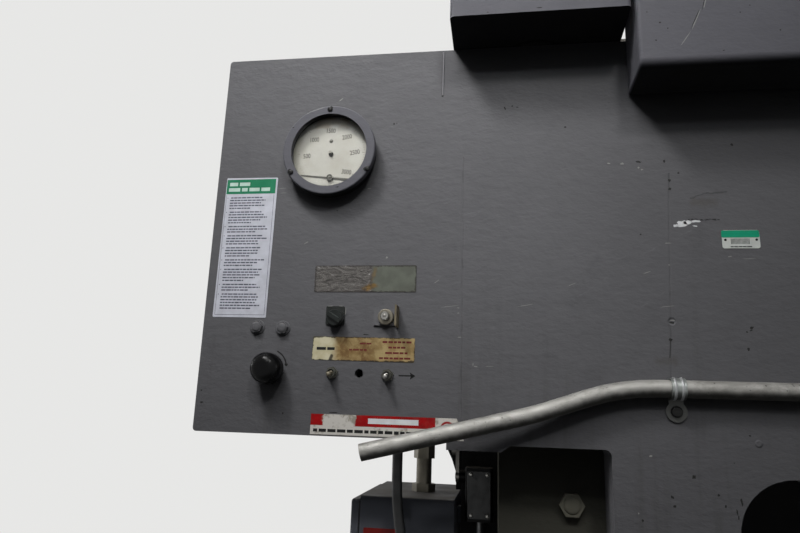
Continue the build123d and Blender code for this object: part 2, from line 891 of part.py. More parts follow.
# Electric motor, lying along x on the tank
motor_z = tank_top + motor_axis_height
motor_right = motor_x + motor_length
motor_axis = Plane((motor_x, motor_y, motor_z), x_dir=(0, 1, 0), z_dir=(1, 0, 0))
with BuildPart() as motor:
    with BuildSketch(motor_axis.offset(cowl_length)):
        Circle(motor_r - fin_depth)
        with PolarLocations((motor_r - fin_depth) - 1, fin_count):
            with Locations((fin_depth / 2, 0)):
                Rectangle(fin_depth + 2, fin_t)
    extrude(amount=motor_length - cowl_length - motor_end_t)
    with BuildSketch(motor_axis.offset(motor_length - motor_end_t)):
        Circle(motor_r)
    extrude(amount=motor_end_t)
    with BuildSketch(motor_axis):
        Circle(motor_r)
        Circle(motor_r - cowl_wall, mode=Mode.SUBTRACT)
    extrude(amount=cowl_length)
    with BuildSketch(motor_axis):
        Circle(motor_r)
        with PolarLocations(30, 8):
            SlotOverall(26, 7, mode=Mode.SUBTRACT)
        with PolarLocations(62, 14):
            SlotOverall(30, 7, mode=Mode.SUBTRACT)
    extrude(amount=cowl_wall)
    foot_left = motor_x + cowl_length + motor_end_t
    foot_right = motor_right - motor_end_t / 2
    foot_top = tank_top + motor_foot_t
    for foot_side in (-1, 1):
        foot_y = motor_y + foot_side * motor_foot_spread / 2
        foot_edges = (foot_y - motor_foot_width / 2, foot_y + motor_foot_width / 2)
        block(foot_left, foot_right, *foot_edges, tank_top, foot_top)
        web_y = foot_y - foot_side * (motor_foot_width / 2 - motor_foot_t / 2 - 1)
        web_edges = (web_y - motor_foot_t / 2, web_y + motor_foot_t / 2)
        block(foot_left, foot_right, *web_edges, foot_top, motor_z - motor_r / 3)
    box_x, box_y, box_z = motor_box_size
    box_mid_x = motor_x + cowl_length + (motor_length - cowl_length) / 2
    box_front_y = motor_y + motor_r - motor_end_t
    block(
        box_mid_x - box_x / 2, box_mid_x + box_x / 2, box_front_y, box_front_y + box_y,
        motor_z - box_z / 8, motor_z + box_z * 7 / 8,
    )
    with BuildSketch(motor_axis.offset(cowl_wall + 1)):
        Circle(shaft_r + running_gap)
    extrude(amount=motor_length, mode=Mode.SUBTRACT)
save(motor, "motor")

adapter_right = motor_right + adapter_length
with BuildPart() as pump:
    with BuildSketch(motor_axis.offset(motor_length)):
        Circle(adapter_r)
    extrude(amount=adapter_length)
    with BuildSketch(motor_axis.offset(motor_length)):
        Circle(adapter_r - adapter_wall)
    extrude(amount=adapter_length - adapter_wall, mode=Mode.SUBTRACT)
    with BuildSketch(motor_axis.offset(motor_length + adapter_length)):
        RectangleRounded(2 * pump_r, 1.6 * pump_r, 16)
    extrude(amount=pump_length)
    with BuildSketch(motor_axis.offset(motor_length + 25)):
        with Locations((adapter_r, 0), (-adapter_r, 0)):
            Rectangle(60, 46)
    extrude(amount=38, mode=Mode.SUBTRACT)
    with Locations(Location((adapter_right + 45, motor_y + pump_r + 8, motor_z), (90, 0, 0))):
        Cylinder(port_r, 30)
    with Locations(Location((adapter_right + 45, motor_y + pump_r + 8, motor_z), (90, 0, 0))):
        Cylinder(port_bore_r, 40, mode=Mode.SUBTRACT)
    with BuildSketch(motor_axis.offset(motor_length + adapter_length - adapter_wall)):
        Circle(shaft_r + running_gap)
    extrude(amount=60, mode=Mode.SUBTRACT)
save(pump, "pump")

# The turning line: fan, shaft and coupling
with BuildPart() as drive_shaft:
    with BuildSketch(motor_axis.offset(cowl_wall + 7)):
        Circle(shaft_r)
    extrude(amount=motor_length + adapter_length + 25)
    with BuildSketch(motor_axis.offset(cowl_wall + 10)):
        Circle(26)
        with PolarLocations(0, fan_blades):
            with Locations((fan_r / 2, 0)):
                Rectangle(fan_r, 4)
    extrude(amount=cowl_length - cowl_wall - 20)
    with BuildSketch(motor_axis.offset(motor_length + 15)):
        Circle(coupling_r)
    extrude(amount=coupling_length)
save(drive_shaft, "drive_shaft")

# Valve block with two solenoid valves
with BuildPart() as valve_manifold:
    size_x, size_y, size_z = manifold_size
    block(
        manifold_x - size_x / 2, manifold_x + size_x / 2,
        manifold_y - size_y / 2, manifold_y + size_y / 2, tank_top, tank_top + size_z,
    )
    chamfer(valve_manifold.edges().filter_by(Axis.Z), 4)
save(valve_manifold, "valve_manifold")

manifold_top = tank_top + manifold_size[2]
with BuildPart() as solenoid_valves:
    for valve_x in (manifold_x - 45, manifold_x + 45):
        size_x, size_y, size_z = valve_size
        block(
            valve_x - size_x / 2, valve_x + size_x / 2,
            manifold_y - size_y / 2, manifold_y + size_y / 2,
            manifold_top, manifold_top + size_z,
        )
        for end in (-1, 1):
            coil_y = manifold_y + end * (size_y / 2 + coil_length / 2)
            with Locations(Location((valve_x, coil_y, manifold_top + 26), (90, 0, 0))):
                Cylinder(coil_r, coil_length)
save(solenoid_valves, "solenoid_valves")

with BuildPart() as filler_breather:
    with Locations((*filler_at, tank_top + filler_neck / 2)):
        Cylinder(filler_r, filler_neck)
    with Locations((*filler_at, tank_top + filler_neck + filler_cap / 2)):
        Cylinder(filler_r + 12, filler_cap)
    fillet(filler_breather.edges().filter_by(GeomType.CIRCLE).group_by(Axis.Z)[-1], 6)
save(filler_breather, "filler_breather")

# Steel pipes from the valve block to the cylinders: push at the cap, pull at the rod end
port_y = die_y + barrel_r + port_length
push_pipe_z = tank_top + push_pipe_up
pull_pipe_z = tank_top + pull_pipe_up
pull_pipe_y = manifold_y + pull_pipe_behind
pull_drop_y = port_y + pull_drop_behind_port
with BuildPart() as push_pipes:
    for side in (-1, 1):
        start_x = manifold_x + side * manifold_size[0] / 2
        rod_along(
            [
                (start_x, manifold_y, push_pipe_z),
                (side * housing_centre, manifold_y, push_pipe_z),
                (side * housing_centre, port_y, top_port_z),
            ],
            [pipe_bend_r], pipe_r,
        )
save(push_pipes, "push_pipes")

with BuildPart() as pull_pipes:
    for side in (-1, 1):
        start_x = manifold_x + side * manifold_size[0] / 2
        rod_along(
            [
                (start_x, pull_pipe_y, pull_pipe_z),
                (side * housing_centre, pull_pipe_y, pull_pipe_z),
                (side * housing_centre, pull_drop_y, pull_pipe_z),
                (side * housing_centre, pull_drop_y, bottom_port_z),
                (side * housing_centre, port_y, bottom_port_z),
            ],
            [pipe_bend_r, pipe_bend_r, pipe_bend_r], pipe_r,
        )
save(pull_pipes, "pull_pipes")

with BuildPart() as pump_pipe:
    rod_along(
        [
            (adapter_right + 45, motor_y + pump_r + 23, motor_z),
            (adapter_right + 45, motor_y + pump_r + 90, motor_z),
            (adapter_right + 45, motor_y + pump_r + 90, tank_top + 34),
            (manifold_x, motor_y + pump_r + 90, tank_top + 34),
            (manifold_x, manifold_y - manifold_size[1] / 2, tank_top + 34),
        ],
        [30, 30, 25], pipe_r,
    )
save(pump_pipe, "pump_pipe")

# Control panel: a plate welded to the ram's end, with two ribs behind it
gauge_x = -(seam_x + gauge_from_seam)
gauge_z = ram_top - gauge_from_top
with BuildPart() as control_panel:
    block(panel_left, -seam_x, ram_face_y, panel_back_y, panel_bottom, ram_top)
    outer_corners = control_panel.edges().filter_by(Axis.Y).group_by(Axis.X)[0]
    fillet(outer_corners, panel_corner_r)
    for rib_z in (ram_top - 24, panel_bottom + 12):
        block(
            panel_left + rib_inset, -seam_x, panel_back_y, panel_back_y + rib_depth,
            rib_z, rib_z + rib_thickness,
        )
    holes = (
        (gauge_x, gauge_z, gauge_stem_r + seat_gap),
        (*on_panel(speed_knob_at), speed_stem_r + running_gap),
        (*on_panel(selector_at), selector_stem_r + running_gap),
        (*on_panel(button_at), button_r),
        (*on_panel(toggle_left_at), toggle_bush_r + seat_gap),
        (*on_panel(toggle_right_at), toggle_bush_r + seat_gap),
        (*on_panel(spare_hole_at), spare_hole_r),
        *((*on_panel(spot), panel_bolt_r + seat_gap) for spot in panel_bolts_at),
    )
    for hole_x, hole_z, hole_r in holes:
        disc(hole_x, hole_z, panel_back_y, ram_face_y, hole_r, mode=Mode.SUBTRACT)
save(control_panel, "control_panel")

# Sheet box behind the panel, round the backs of the controls
box_left = panel_left + back_box_left
box_back_y = panel_back_y + back_box_depth
back_box_bottom = panel_bottom + back_box_foot
back_box_top = ram_top - back_box_head
with BuildPart() as panel_back_box:
    block(
        box_left, box_left + back_box_width, panel_back_y, box_back_y,
        back_box_bottom, back_box_top,
    )
    block(
        box_left + back_box_wall, box_left + back_box_width - back_box_wall,
        panel_back_y, box_back_y - back_box_wall,
        back_box_bottom + back_box_wall, back_box_top - back_box_wall, mode=Mode.SUBTRACT,
    )
save(panel_back_box, "panel_back_box")

with BuildPart() as panel_bolts:
    for bolt_x, bolt_z in map(on_panel, panel_bolts_at):
        hexagon(
            bolt_x, bolt_z, ram_face_y, ram_face_y - panel_bolt_h, panel_bolt_head, turn=8.0,
        )
        disc(bolt_x, bolt_z, panel_back_y, ram_face_y, panel_bolt_r)
save(panel_bolts, "panel_bolts")

# Pressure gauge: case, clamping ring, dial, glass, spindle and its fallen pointer
with BuildPart() as gauge_case:
    case_front = ram_face_y - gauge_front + gauge_ring_depth
    disc(gauge_x, gauge_z, ram_face_y, case_front, gauge_case_r)
    disc(
        gauge_x, gauge_z, ram_face_y - gauge_dial_depth + 1, case_front, gauge_window_r + 2,
        mode=Mode.SUBTRACT,
    )
    disc(gauge_x, gauge_z, panel_back_y + 10, ram_face_y, gauge_stem_r)
    dial_back = ram_face_y - gauge_dial_depth + 1
    dial_front = dial_back - 1
    disc(gauge_x, gauge_z, dial_back, dial_front - gauge_spindle_proud, gauge_spindle_r)
save(gauge_case, "gauge_case")

with BuildPart() as gauge_ring:
    ring_back = ram_face_y - gauge_front + gauge_ring_depth
    ring_front = ram_face_y - gauge_front
    disc(gauge_x, gauge_z, ring_back, ring_front, gauge_ring_r)
    fillet(gauge_ring.edges().filter_by(GeomType.CIRCLE).group_by(Axis.Y)[0], 2.5)
    disc(gauge_x, gauge_z, ring_back, ring_front, gauge_window_r, mode=Mode.SUBTRACT)
    for angle in (90, 210, 330):
        screw_x = gauge_x + gauge_screw_circle * cos(radians(angle))
        screw_z = gauge_z + gauge_screw_circle * sin(radians(angle))
        disc(
            screw_x, screw_z, ring_front + 3, ring_front, gauge_screw_r + seat_gap,
            mode=Mode.SUBTRACT,
        )
save(gauge_ring, "gauge_ring")

with BuildPart() as gauge_dial:
    disc(gauge_x, gauge_z, dial_back, dial_front, gauge_window_r + 1.5)
    disc(
        gauge_x, gauge_z, dial_back, dial_front, gauge_spindle_r + seat_gap, mode=Mode.SUBTRACT,
    )
save(gauge_dial, "gauge_dial")

with BuildPart() as gauge_glass:
    glass_back = ram_face_y - gauge_glass_depth + gauge_glass_t
    glass_front = ram_face_y - gauge_glass_depth
    disc(gauge_x, gauge_z, glass_back, glass_front, gauge_window_r - seat_gap)
save(gauge_glass, "gauge_glass")

# The pointer has dropped off its spindle and lies across the bottom of the case
pointer_half = sqrt((gauge_window_r - 1.0) ** 2 - pointer_drop ** 2)
pointer_turn = radians(pointer_angle)
pointer_mid = (
    gauge_x - pointer_drop * sin(-pointer_turn),
    gauge_z - pointer_drop * cos(pointer_turn),
)
with BuildPart() as gauge_pointer:
    with BuildSketch(front_plane(dial_front - seat_gap)):
        with Locations(Location(pointer_mid, pointer_angle)):
            Polygon(
                (-pointer_half, -0.4),
                (pointer_half, -1.6),
                (pointer_half, 1.6),
                (-pointer_half, 0.4),
                align=None,
            )
    extrude(amount=0.8)
    disc(
        pointer_mid[0] + 5, pointer_mid[1] - 0.6, dial_front - seat_gap,
        dial_front - seat_gap - 3, pointer_hub_r,
    )
save(gauge_pointer, "gauge_pointer")

with BuildPart() as gauge_screws:
    for angle in (90, 210, 330):
        screw_x = gauge_x + gauge_screw_circle * cos(radians(angle))
        screw_z = gauge_z + gauge_screw_circle * sin(radians(angle))
        disc(screw_x, screw_z, ring_front + 3, ring_front - 0.6, gauge_screw_r)
save(gauge_screws, "gauge_screws")

# Speed knob: a squat round grip on a stem
knob_x, knob_z = on_panel(speed_knob_at)
with BuildPart() as speed_knob:
    knob_back = ram_face_y - speed_knob_gap
    disc(knob_x, knob_z, knob_back, knob_back - speed_knob_depth, speed_knob_r)
    fillet(speed_knob.edges().filter_by(GeomType.CIRCLE).group_by(Axis.Y)[0], 15)
    fillet(speed_knob.edges().filter_by(GeomType.CIRCLE).group_by(Axis.Y)[-1], 5)
    disc(knob_x, knob_z, panel_back_y + 8, knob_back, speed_stem_r)
save(speed_knob, "speed_knob")

# Selector switch: square plate and a round knob with a bar across it
sel_x, sel_z = on_panel(selector_at)
with BuildPart() as selector_base:
    with BuildSketch(front_plane(ram_face_y)):
        with Locations((sel_x - 1.5, sel_z + selector_plate_rise)):
            RectangleRounded(*selector_plate, 2)
    extrude(amount=2)
    disc(
        sel_x, sel_z, ram_face_y, ram_face_y - 4, selector_r - 0.5,
    )
    disc(
        sel_x, sel_z, ram_face_y, ram_face_y - 4, selector_stem_r + running_gap,
        mode=Mode.SUBTRACT,
    )
save(selector_base, "selector_base")

with BuildPart() as selector_knob:
    sel_back = ram_face_y - 4 - turning_gap
    sel_front = sel_back - selector_depth + selector_bar_depth
    disc(sel_x, sel_z, sel_back, sel_front, selector_r)
    chamfer(selector_knob.edges().filter_by(GeomType.CIRCLE).group_by(Axis.Y)[0], 1)
    with BuildSketch(front_plane(sel_front)):
        with Locations(Location((sel_x, sel_z), selector_angle)):
            Rectangle(2 * selector_r - 2.4, selector_bar)
    extrude(amount=selector_bar_depth)
    disc(sel_x, sel_z, panel_back_y + 6, sel_back, selector_stem_r)
save(selector_knob, "selector_knob")

# Push button with its collar, on a bracket whose tab stands out beside it
but_x, but_z = on_panel(button_at)
with BuildPart() as button_bracket:
    block(
        but_x - bracket_left, but_x + bracket_right, ram_face_y - bracket_t, ram_face_y,
        but_z - bracket_half_height, but_z + bracket_half_height,
    )
    block(
        but_x + bracket_right - bracket_t, but_x + bracket_right,
        ram_face_y - bracket_tab_depth, ram_face_y,
        but_z - bracket_tab_height / 2, but_z + bracket_tab_height / 2,
    )
    disc(
        but_x, but_z, ram_face_y, ram_face_y - bracket_t, button_r + seat_gap,
        mode=Mode.SUBTRACT,
    )
save(button_bracket, "button_bracket")

collar_front_y = ram_face_y - bracket_t - collar_depth
with BuildPart() as button_collar:
    disc(but_x, but_z, ram_face_y - bracket_t, collar_front_y, collar_r)
    fillet(button_collar.edges().filter_by(GeomType.CIRCLE).group_by(Axis.Y)[0], 1.5)
    disc(
        but_x, but_z, ram_face_y - bracket_t, collar_front_y, button_r + running_gap,
        mode=Mode.SUBTRACT,
    )
save(button_collar, "button_collar")

with BuildPart() as push_button:
    disc(but_x, but_z, ram_face_y + 6, ram_face_y - button_proud, button_r - running_gap)
    chamfer(push_button.edges().filter_by(GeomType.CIRCLE).group_by(Axis.Y)[0], 1)
save(push_button, "push_button")

# Toggle switches: bush and nut, with a lever that tips up and down
with BuildPart() as toggle_bushes:
    for tog_x, tog_z in (on_panel(toggle_left_at), on_panel(toggle_right_at)):
        hexagon(tog_x, tog_z, ram_face_y, ram_face_y - toggle_nut_t, toggle_nut, turn=15.0)
        disc(tog_x, tog_z, panel_back_y + 20, ram_face_y - toggle_bush_proud, toggle_bush_r)
        mouth_y = ram_face_y - toggle_bush_proud
        disc(
            tog_x, tog_z, mouth_y + toggle_bore_depth, mouth_y, toggle_bush_bore_r,
            mode=Mode.SUBTRACT,
        )
save(toggle_bushes, "toggle_bushes")


def toggle_lever(at, name):
    """A lever from its pivot inside the bush to a rounded tip, tipped down at rest."""
    x, z = on_panel(at)
    pivot = Vector(x, mouth_y + toggle_pivot_in, z)
    tilt = radians(toggle_rest_tilt)
    way = Vector(0, -cos(tilt), -sin(tilt))
    with BuildPart() as lever:
        with BuildSketch(Plane(origin=pivot, z_dir=way)):
            Circle(toggle_lever_r - 0.6)
        with BuildSketch(Plane(origin=pivot + way * toggle_reach, z_dir=way)):
            Circle(toggle_tip_r)
        loft()
        with Locations(pivot + way * toggle_reach):
            Sphere(toggle_tip_r)
        with Locations(pivot):
            Sphere(toggle_bush_bore_r - seat_gap)
    save(lever, name)
    return lever


toggle_lever_left = toggle_lever(toggle_left_at, "toggle_lever_left")
toggle_lever_right = toggle_lever(toggle_right_at, "toggle_lever_right")

# Conduit: steel tube strapped along the ram, bending down to its open left end
conduit_proud = conduit_r + seat_gap
conduit_z = ram_top - conduit_drop
conduit_right = half_bend - conduit_right_inset
with BuildPart() as conduit:
    rod_along(
        [
            (conduit_right, ram_face_y - conduit_proud, conduit_z),
            from_seam((-conduit_bend_a, conduit_proud, 0)),
            from_seam(conduit_bend_b),
            from_seam(conduit_end),
        ],
        [conduit_bend_ra, conduit_bend_rb], conduit_r, bore=conduit_r - conduit_wall,
    )
save(conduit, "conduit")

strap_start = -(seam_x - first_strap)
strap_pitch = (conduit_right - last_strap - strap_start) / (strap_count - 1)
strap_places = [strap_start + index * strap_pitch for index in range(strap_count)]
with BuildPart() as conduit_straps:
    inside_r = conduit_r + seat_gap
    outside_r = inside_r + strap_t
    tube_y = ram_face_y - conduit_proud
    for at_x in strap_places:
        with BuildSketch(Plane.YZ.offset(at_x - strap_width / 2)):
            with Locations((tube_y, conduit_z)):
                Circle(outside_r)
            for side in (-1, 1):
                with Locations((ram_face_y - inside_r / 2, conduit_z + side * inside_r)):
                    Rectangle(inside_r, 2 * strap_t)
            with Locations((tube_y, conduit_z)):
                Circle(inside_r, mode=Mode.SUBTRACT)
            with Locations((ram_face_y - inside_r / 2, conduit_z)):
                Rectangle(inside_r, 2 * inside_r, mode=Mode.SUBTRACT)
            with Locations((ram_face_y + outside_r, conduit_z)):
                Rectangle(2 * outside_r, 4 * outside_r, mode=Mode.SUBTRACT)
            with Locations((ram_face_y - strap_t / 2, conduit_z - (strap_ear_drop + inside_r) / 2)):
                Rectangle(strap_t, strap_ear_drop - inside_r)
        extrude(amount=strap_width)
        ear_z = conduit_z - strap_ear_drop
        disc(at_x, ear_z, ram_face_y, ram_face_y - strap_t, strap_ear_r)
        disc(
            at_x, ear_z, ram_face_y, ram_face_y - strap_t, strap_screw_r + seat_gap,
            mode=Mode.SUBTRACT,
        )
save(conduit_straps, "conduit_straps")

with BuildPart() as strap_screws:
    for at_x in strap_places:
        screw_z = conduit_z - strap_ear_drop
        head_back = ram_face_y - strap_t
        disc(at_x, screw_z, head_back, head_back - strap_screw_head_h, strap_screw_head_r)
        disc(at_x, screw_z, ram_face_y, head_back, strap_screw_r)
    fillet(
        strap_screws.edges().filter_by(GeomType.CIRCLE).group_by(Axis.Y)[0],
        strap_screw_head_h * 0.6,
    )
save(strap_screws, "strap_screws")

# Electrical enclosure on the left frame, its door facing out to the left
enclosure_top = throat_top + enclosure_above_throat
enc_right = -outer_face - enclosure_standoff
enc_left = enc_right - enclosure_depth
enc_front = ram_face_y + enclosure_behind_face
enc_back = enc_front + enclosure_width
enc_bottom = enclosure_top - enclosure_height
hinge_y = enc_back + hinge_leaf / 2 + knuckle_r
hinge_x = enc_left - gasket_t - door_t / 2
with BuildPart() as enclosure:
    block(enc_left, enc_right, enc_front, enc_back, enc_bottom, enclosure_top)
    fillet(enclosure.edges().filter_by(Axis.X), 4)
    block(
        enc_left, enc_right - enclosure_wall, enc_front + enclosure_wall,
        enc_back - enclosure_wall, enc_bottom + enclosure_wall, enclosure_top - enclosure_wall,
        mode=Mode.SUBTRACT,
    )
    for pad_y in (outer_nose_y + 25, enc_back - 25):
        for pad_z in (throat_top + 30, enclosure_top - 30):
            block(enc_right, -outer_face, pad_y - 12, pad_y + 12, pad_z - 12, pad_z + 12)
    for hinge_z in (
        enclosure_top - enclosure_height / 2 - hinge_spread / 2,
        enclosure_top - enclosure_height / 2 + hinge_spread / 2,
    ):
        for end in (-1, 1):
            mid = hinge_z + end * (knuckle_length + turning_gap)
            with Locations((hinge_x, hinge_y, mid)):
                Cylinder(knuckle_r, knuckle_length)
            block(
                hinge_x, enc_left + 30, enc_back, enc_back + hinge_leaf,
                mid - knuckle_length / 2, mid + knuckle_length / 2,
            )
        with Locations((hinge_x, hinge_y, hinge_z)):
            Cylinder(hinge_pin_r, 2 * knuckle_length)
save(enclosure, "enclosure")

with BuildPart() as enclosure_gasket:
    block(
        enc_left - gasket_t, enc_left, enc_front + 1, enc_back - 6,
        enc_bottom + 1, enclosure_top - door_drop - 3,
    )
    block(
        enc_left - gasket_t, enc_left, enc_front + 9, enc_back - 14,
        enc_bottom + 9, enclosure_top - door_drop - 11, mode=Mode.SUBTRACT,
    )
save(enclosure_gasket, "enclosure_gasket")

with BuildPart() as enclosure_door:
    door_right = enc_left - gasket_t
    door_back = enc_back - door_back_gap
    block(
        door_right - door_t, door_right, enc_front - door_front_lip, door_back,
        enc_bottom - door_drop, enclosure_top - door_drop,
    )
    fillet(enclosure_door.edges().filter_by(Axis.X), 4)
    chamfer(enclosure_door.faces().sort_by(Axis.X)[0].edges(), 1.5)
    block(
        door_right - door_t + 3, door_right, enc_front + 12, door_back - 12,
        enc_bottom + 10, enclosure_top - door_drop - 14, mode=Mode.SUBTRACT,
    )
    for hinge_z in (
        enclosure_top - enclosure_height / 2 - hinge_spread / 2,
        enclosure_top - enclosure_height / 2 + hinge_spread / 2,
    ):
        with Locations((hinge_x, hinge_y, hinge_z)):
            Cylinder(knuckle_r, knuckle_length)
        block(
            hinge_x - 1.5, hinge_x + 1.5, door_back - 1, hinge_y,
            hinge_z - knuckle_length / 2, hinge_z + knuckle_length / 2,
        )
        with Locations((hinge_x, hinge_y, hinge_z)):
            Cylinder(hinge_pin_r + running_gap, knuckle_length + 2, mode=Mode.SUBTRACT)
save(enclosure_door, "enclosure_door")

with BuildPart() as control_gear:
    plate_x = enc_right - enclosure_wall - gear_pad_t
    plate_low = enc_bottom + gear_margin
    plate_high = enclosure_top - gear_margin
    plate_ends = (enc_front + gear_margin, enc_back - gear_margin)
    block(plate_x, plate_x + gear_plate_t, *plate_ends, plate_low, plate_high)
    pad_ends = (plate_ends[0] + gear_pad_in, plate_ends[1] - gear_pad_in)
    for pad_z in (plate_low + gear_pad_in, plate_high - gear_pad_in):
        block(
            plate_x + gear_plate_t, enc_right - enclosure_wall, *pad_ends,
            pad_z - gear_pad_t / 2, pad_z + gear_pad_t / 2,
        )
    mid_y = (enc_front + enc_back) / 2
    for row, (width, height, deep) in enumerate(gear_rows):
        mid_z = enclosure_top - gear_first_row - row * gear_row_pitch
        block(
            plate_x - deep, plate_x, mid_y - width / 2, mid_y + width / 2,
            mid_z - height / 2, mid_z + height / 2,
        )
save(control_gear, "control_gear")

# Straight connector on the enclosure's top, for the thicker hose
fitting_at = (enc_right - fitting_inset[0], enc_front + fitting_inset[1])
with BuildPart() as hose_connector:
    with BuildSketch(Plane.XY.offset(enclosure_top)):
        with Locations(fitting_at):
            RegularPolygon(fitting_nut / 2, 6, major_radius=False)
    extrude(amount=12)
    with BuildSketch(Plane.XY.offset(enclosure_top + 12)):
        with Locations(fitting_at):
            Circle(fitting_body_r)
    extrude(amount=fitting_height - 34)
    with BuildSketch(Plane.XY.offset(enclosure_top + fitting_height - 22)):
        with Locations(fitting_at):
            RegularPolygon(fitting_nut / 2 - 1.5, 6, major_radius=False)
    extrude(amount=22)
save(hose_connector, "hose_connector")

# Thin hose: out of the back box, down in front of the enclosure and up into its bottom
hose_a_points = [
    (-1291, -455, back_box_bottom),
    (-1291, -455, 1475),
    (-1290, -455, 1408),
    (-1276, -454, 1335),
    (-1268, -452, 1262),
    (-1268, -450, 1190),
    (-1274, -449, 1118),
    (-1283, -448, 1040),
    (-1290, -447, 950),
    (-1293, -402, 905),
    (-1297, -338, 905),
    (-1300, -293, 950),
    (-1300, -293, enc_bottom),
]
with BuildPart() as hose_a:
    rod_along(hose_a_points, tube_radii(hose_a_points), hose_a_r)
save(hose_a, "hose_a")

# Thick hose: up from the connector and forward into the back box
hose_b_points = [
    (*fitting_at, enclosure_top + fitting_height),
    (-1272, -295, 1540),
    (-1271, -292, 1600),
    (-1270, -286, 1660),
    (-1271, -281, 1718),
    (-1273, -281, 1775),
    (-1276, -311, 1826),
    (-1278, -362, 1856),
    (-1278, box_back_y, 1856),
]
with BuildPart() as hose_b:
    rod_along(hose_b_points, tube_radii(hose_b_points), hose_b_r)
save(hose_b, "hose_b")

# Limit switch on the frame's nose, with a roller lever and its flexible conduit
switch_x = -(outer_face - switch_inset)
switch_bottom = throat_top + switch_above_throat
with BuildPart() as limit_switch:
    size_x, size_y, size_z = switch_size
    block(
        switch_x - size_x / 2, switch_x + size_x / 2, outer_nose_y - size_y, outer_nose_y,
        switch_bottom, switch_bottom + size_z,
    )
    fillet(limit_switch.edges().filter_by(Axis.Z), 4)
    lever_pivot_z = switch_bottom + size_z - 14
    pivot_y = outer_nose_y - size_y / 2
    with Locations(Location((switch_x - size_x / 2 - 5, pivot_y, lever_pivot_z), (0, 90, 0))):
        Cylinder(9, 10)
    with Locations(Location((switch_x - size_x / 2 - 10, pivot_y, lever_pivot_z), (0, 90, 0))):
        Cylinder(4, 12)
save(limit_switch, "limit_switch")

with BuildPart() as limit_lever:
    lever_x = switch_x - size_x / 2 - 10 - turning_gap
    with BuildSketch(Plane.YZ.offset(lever_x - lever_t)):
        with BuildLine():
            Polyline(
                (pivot_y - 6, lever_pivot_z),
                (pivot_y - 4, lever_pivot_z + lever_length),
                (pivot_y + 4, lever_pivot_z + lever_length),
                (pivot_y + 6, lever_pivot_z),
                close=True,
            )
        make_face()
        with Locations((pivot_y, lever_pivot_z)):
            Circle(8)
        with Locations((pivot_y, lever_pivot_z)):
            Circle(4 + running_gap, mode=Mode.SUBTRACT)
        with Locations((pivot_y, lever_pivot_z + lever_length)):
            Circle(4)
    extrude(amount=lever_t)
    with Locations(
        Location((lever_x - lever_t - roller_t / 2, pivot_y, lever_pivot_z + lever_length),
                 (0, 90, 0))
    ):
        Cylinder(roller_r, roller_t)
save(limit_lever, "limit_lever")

flex_y = outer_nose_y - switch_size[1] / 2
flex_points = [
    (switch_x, flex_y, switch_bottom),
    (switch_x, flex_y, 1345),
    (-1179, flex_y - 2, 1300),
    (-1166, flex_y - 5, 1254),
    (-1152, flex_y - 7, 1208),
    (-1144, flex_y - 9, 1162),
    (-1151, flex_y - 10, 1126),
    (-1174, flex_y - 11, 1106),
    (enc_right, flex_y - 11, 1106),
]
with BuildPart() as switch_conduit:
    rod_along(flex_points, tube_radii(flex_points), flex_r)
save(switch_conduit, "switch_conduit")

for hose_name, hose_points in (
    ("hose_a", hose_a_points), ("hose_b", hose_b_points), ("switch_conduit", flex_points),
):
    print(hose_name, "radii", [round(radius) for radius in tube_radii(hose_points)])
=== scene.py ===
import bpy
import bmesh
import math
import random
from mathutils import Matrix, Vector


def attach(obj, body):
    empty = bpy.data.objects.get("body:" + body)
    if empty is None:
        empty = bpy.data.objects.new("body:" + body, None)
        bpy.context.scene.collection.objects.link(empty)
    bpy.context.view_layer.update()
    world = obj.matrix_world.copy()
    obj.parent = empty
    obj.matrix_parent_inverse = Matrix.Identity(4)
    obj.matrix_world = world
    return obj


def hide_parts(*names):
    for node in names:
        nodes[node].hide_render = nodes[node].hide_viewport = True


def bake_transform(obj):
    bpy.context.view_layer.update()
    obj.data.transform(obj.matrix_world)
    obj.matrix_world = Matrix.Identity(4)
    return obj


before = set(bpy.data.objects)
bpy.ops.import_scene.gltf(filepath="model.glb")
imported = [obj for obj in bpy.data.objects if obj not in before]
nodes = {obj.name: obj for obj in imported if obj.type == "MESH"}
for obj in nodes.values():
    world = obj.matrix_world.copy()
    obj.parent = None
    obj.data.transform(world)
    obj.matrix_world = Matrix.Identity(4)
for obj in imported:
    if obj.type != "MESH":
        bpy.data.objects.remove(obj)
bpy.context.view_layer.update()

scene = bpy.context.scene
scene.view_settings.view_transform = "Standard"
chance = random.Random(7)
MM = 0.001
SKY_LOW = 0.01
SKY_HIGH = 0.22


# Camera at the picture's viewpoint
cam_data = bpy.data.cameras.new("camera")
cam_data.lens = 28.8
cam_data.sensor_width = 36.0
cam_data.sensor_fit = "HORIZONTAL"
cam_data.clip_start = 0.05
cam_data.clip_end = 60.0
camera = bpy.data.objects.new("camera", cam_data)
scene.collection.objects.link(camera)
right = Vector((0.9882, 0.1494, 0.0341)).normalized()
ahead = Vector((-0.1533, 0.9615, 0.2282)).normalized()
up = right.cross(ahead).normalized()
right = ahead.cross(up).normalized()
turn = Matrix((right, up, -ahead)).transposed().to_4x4()
camera.matrix_world = Matrix.Translation((-1.1532, -1.355, 1.5251)) @ turn
scene.camera = camera


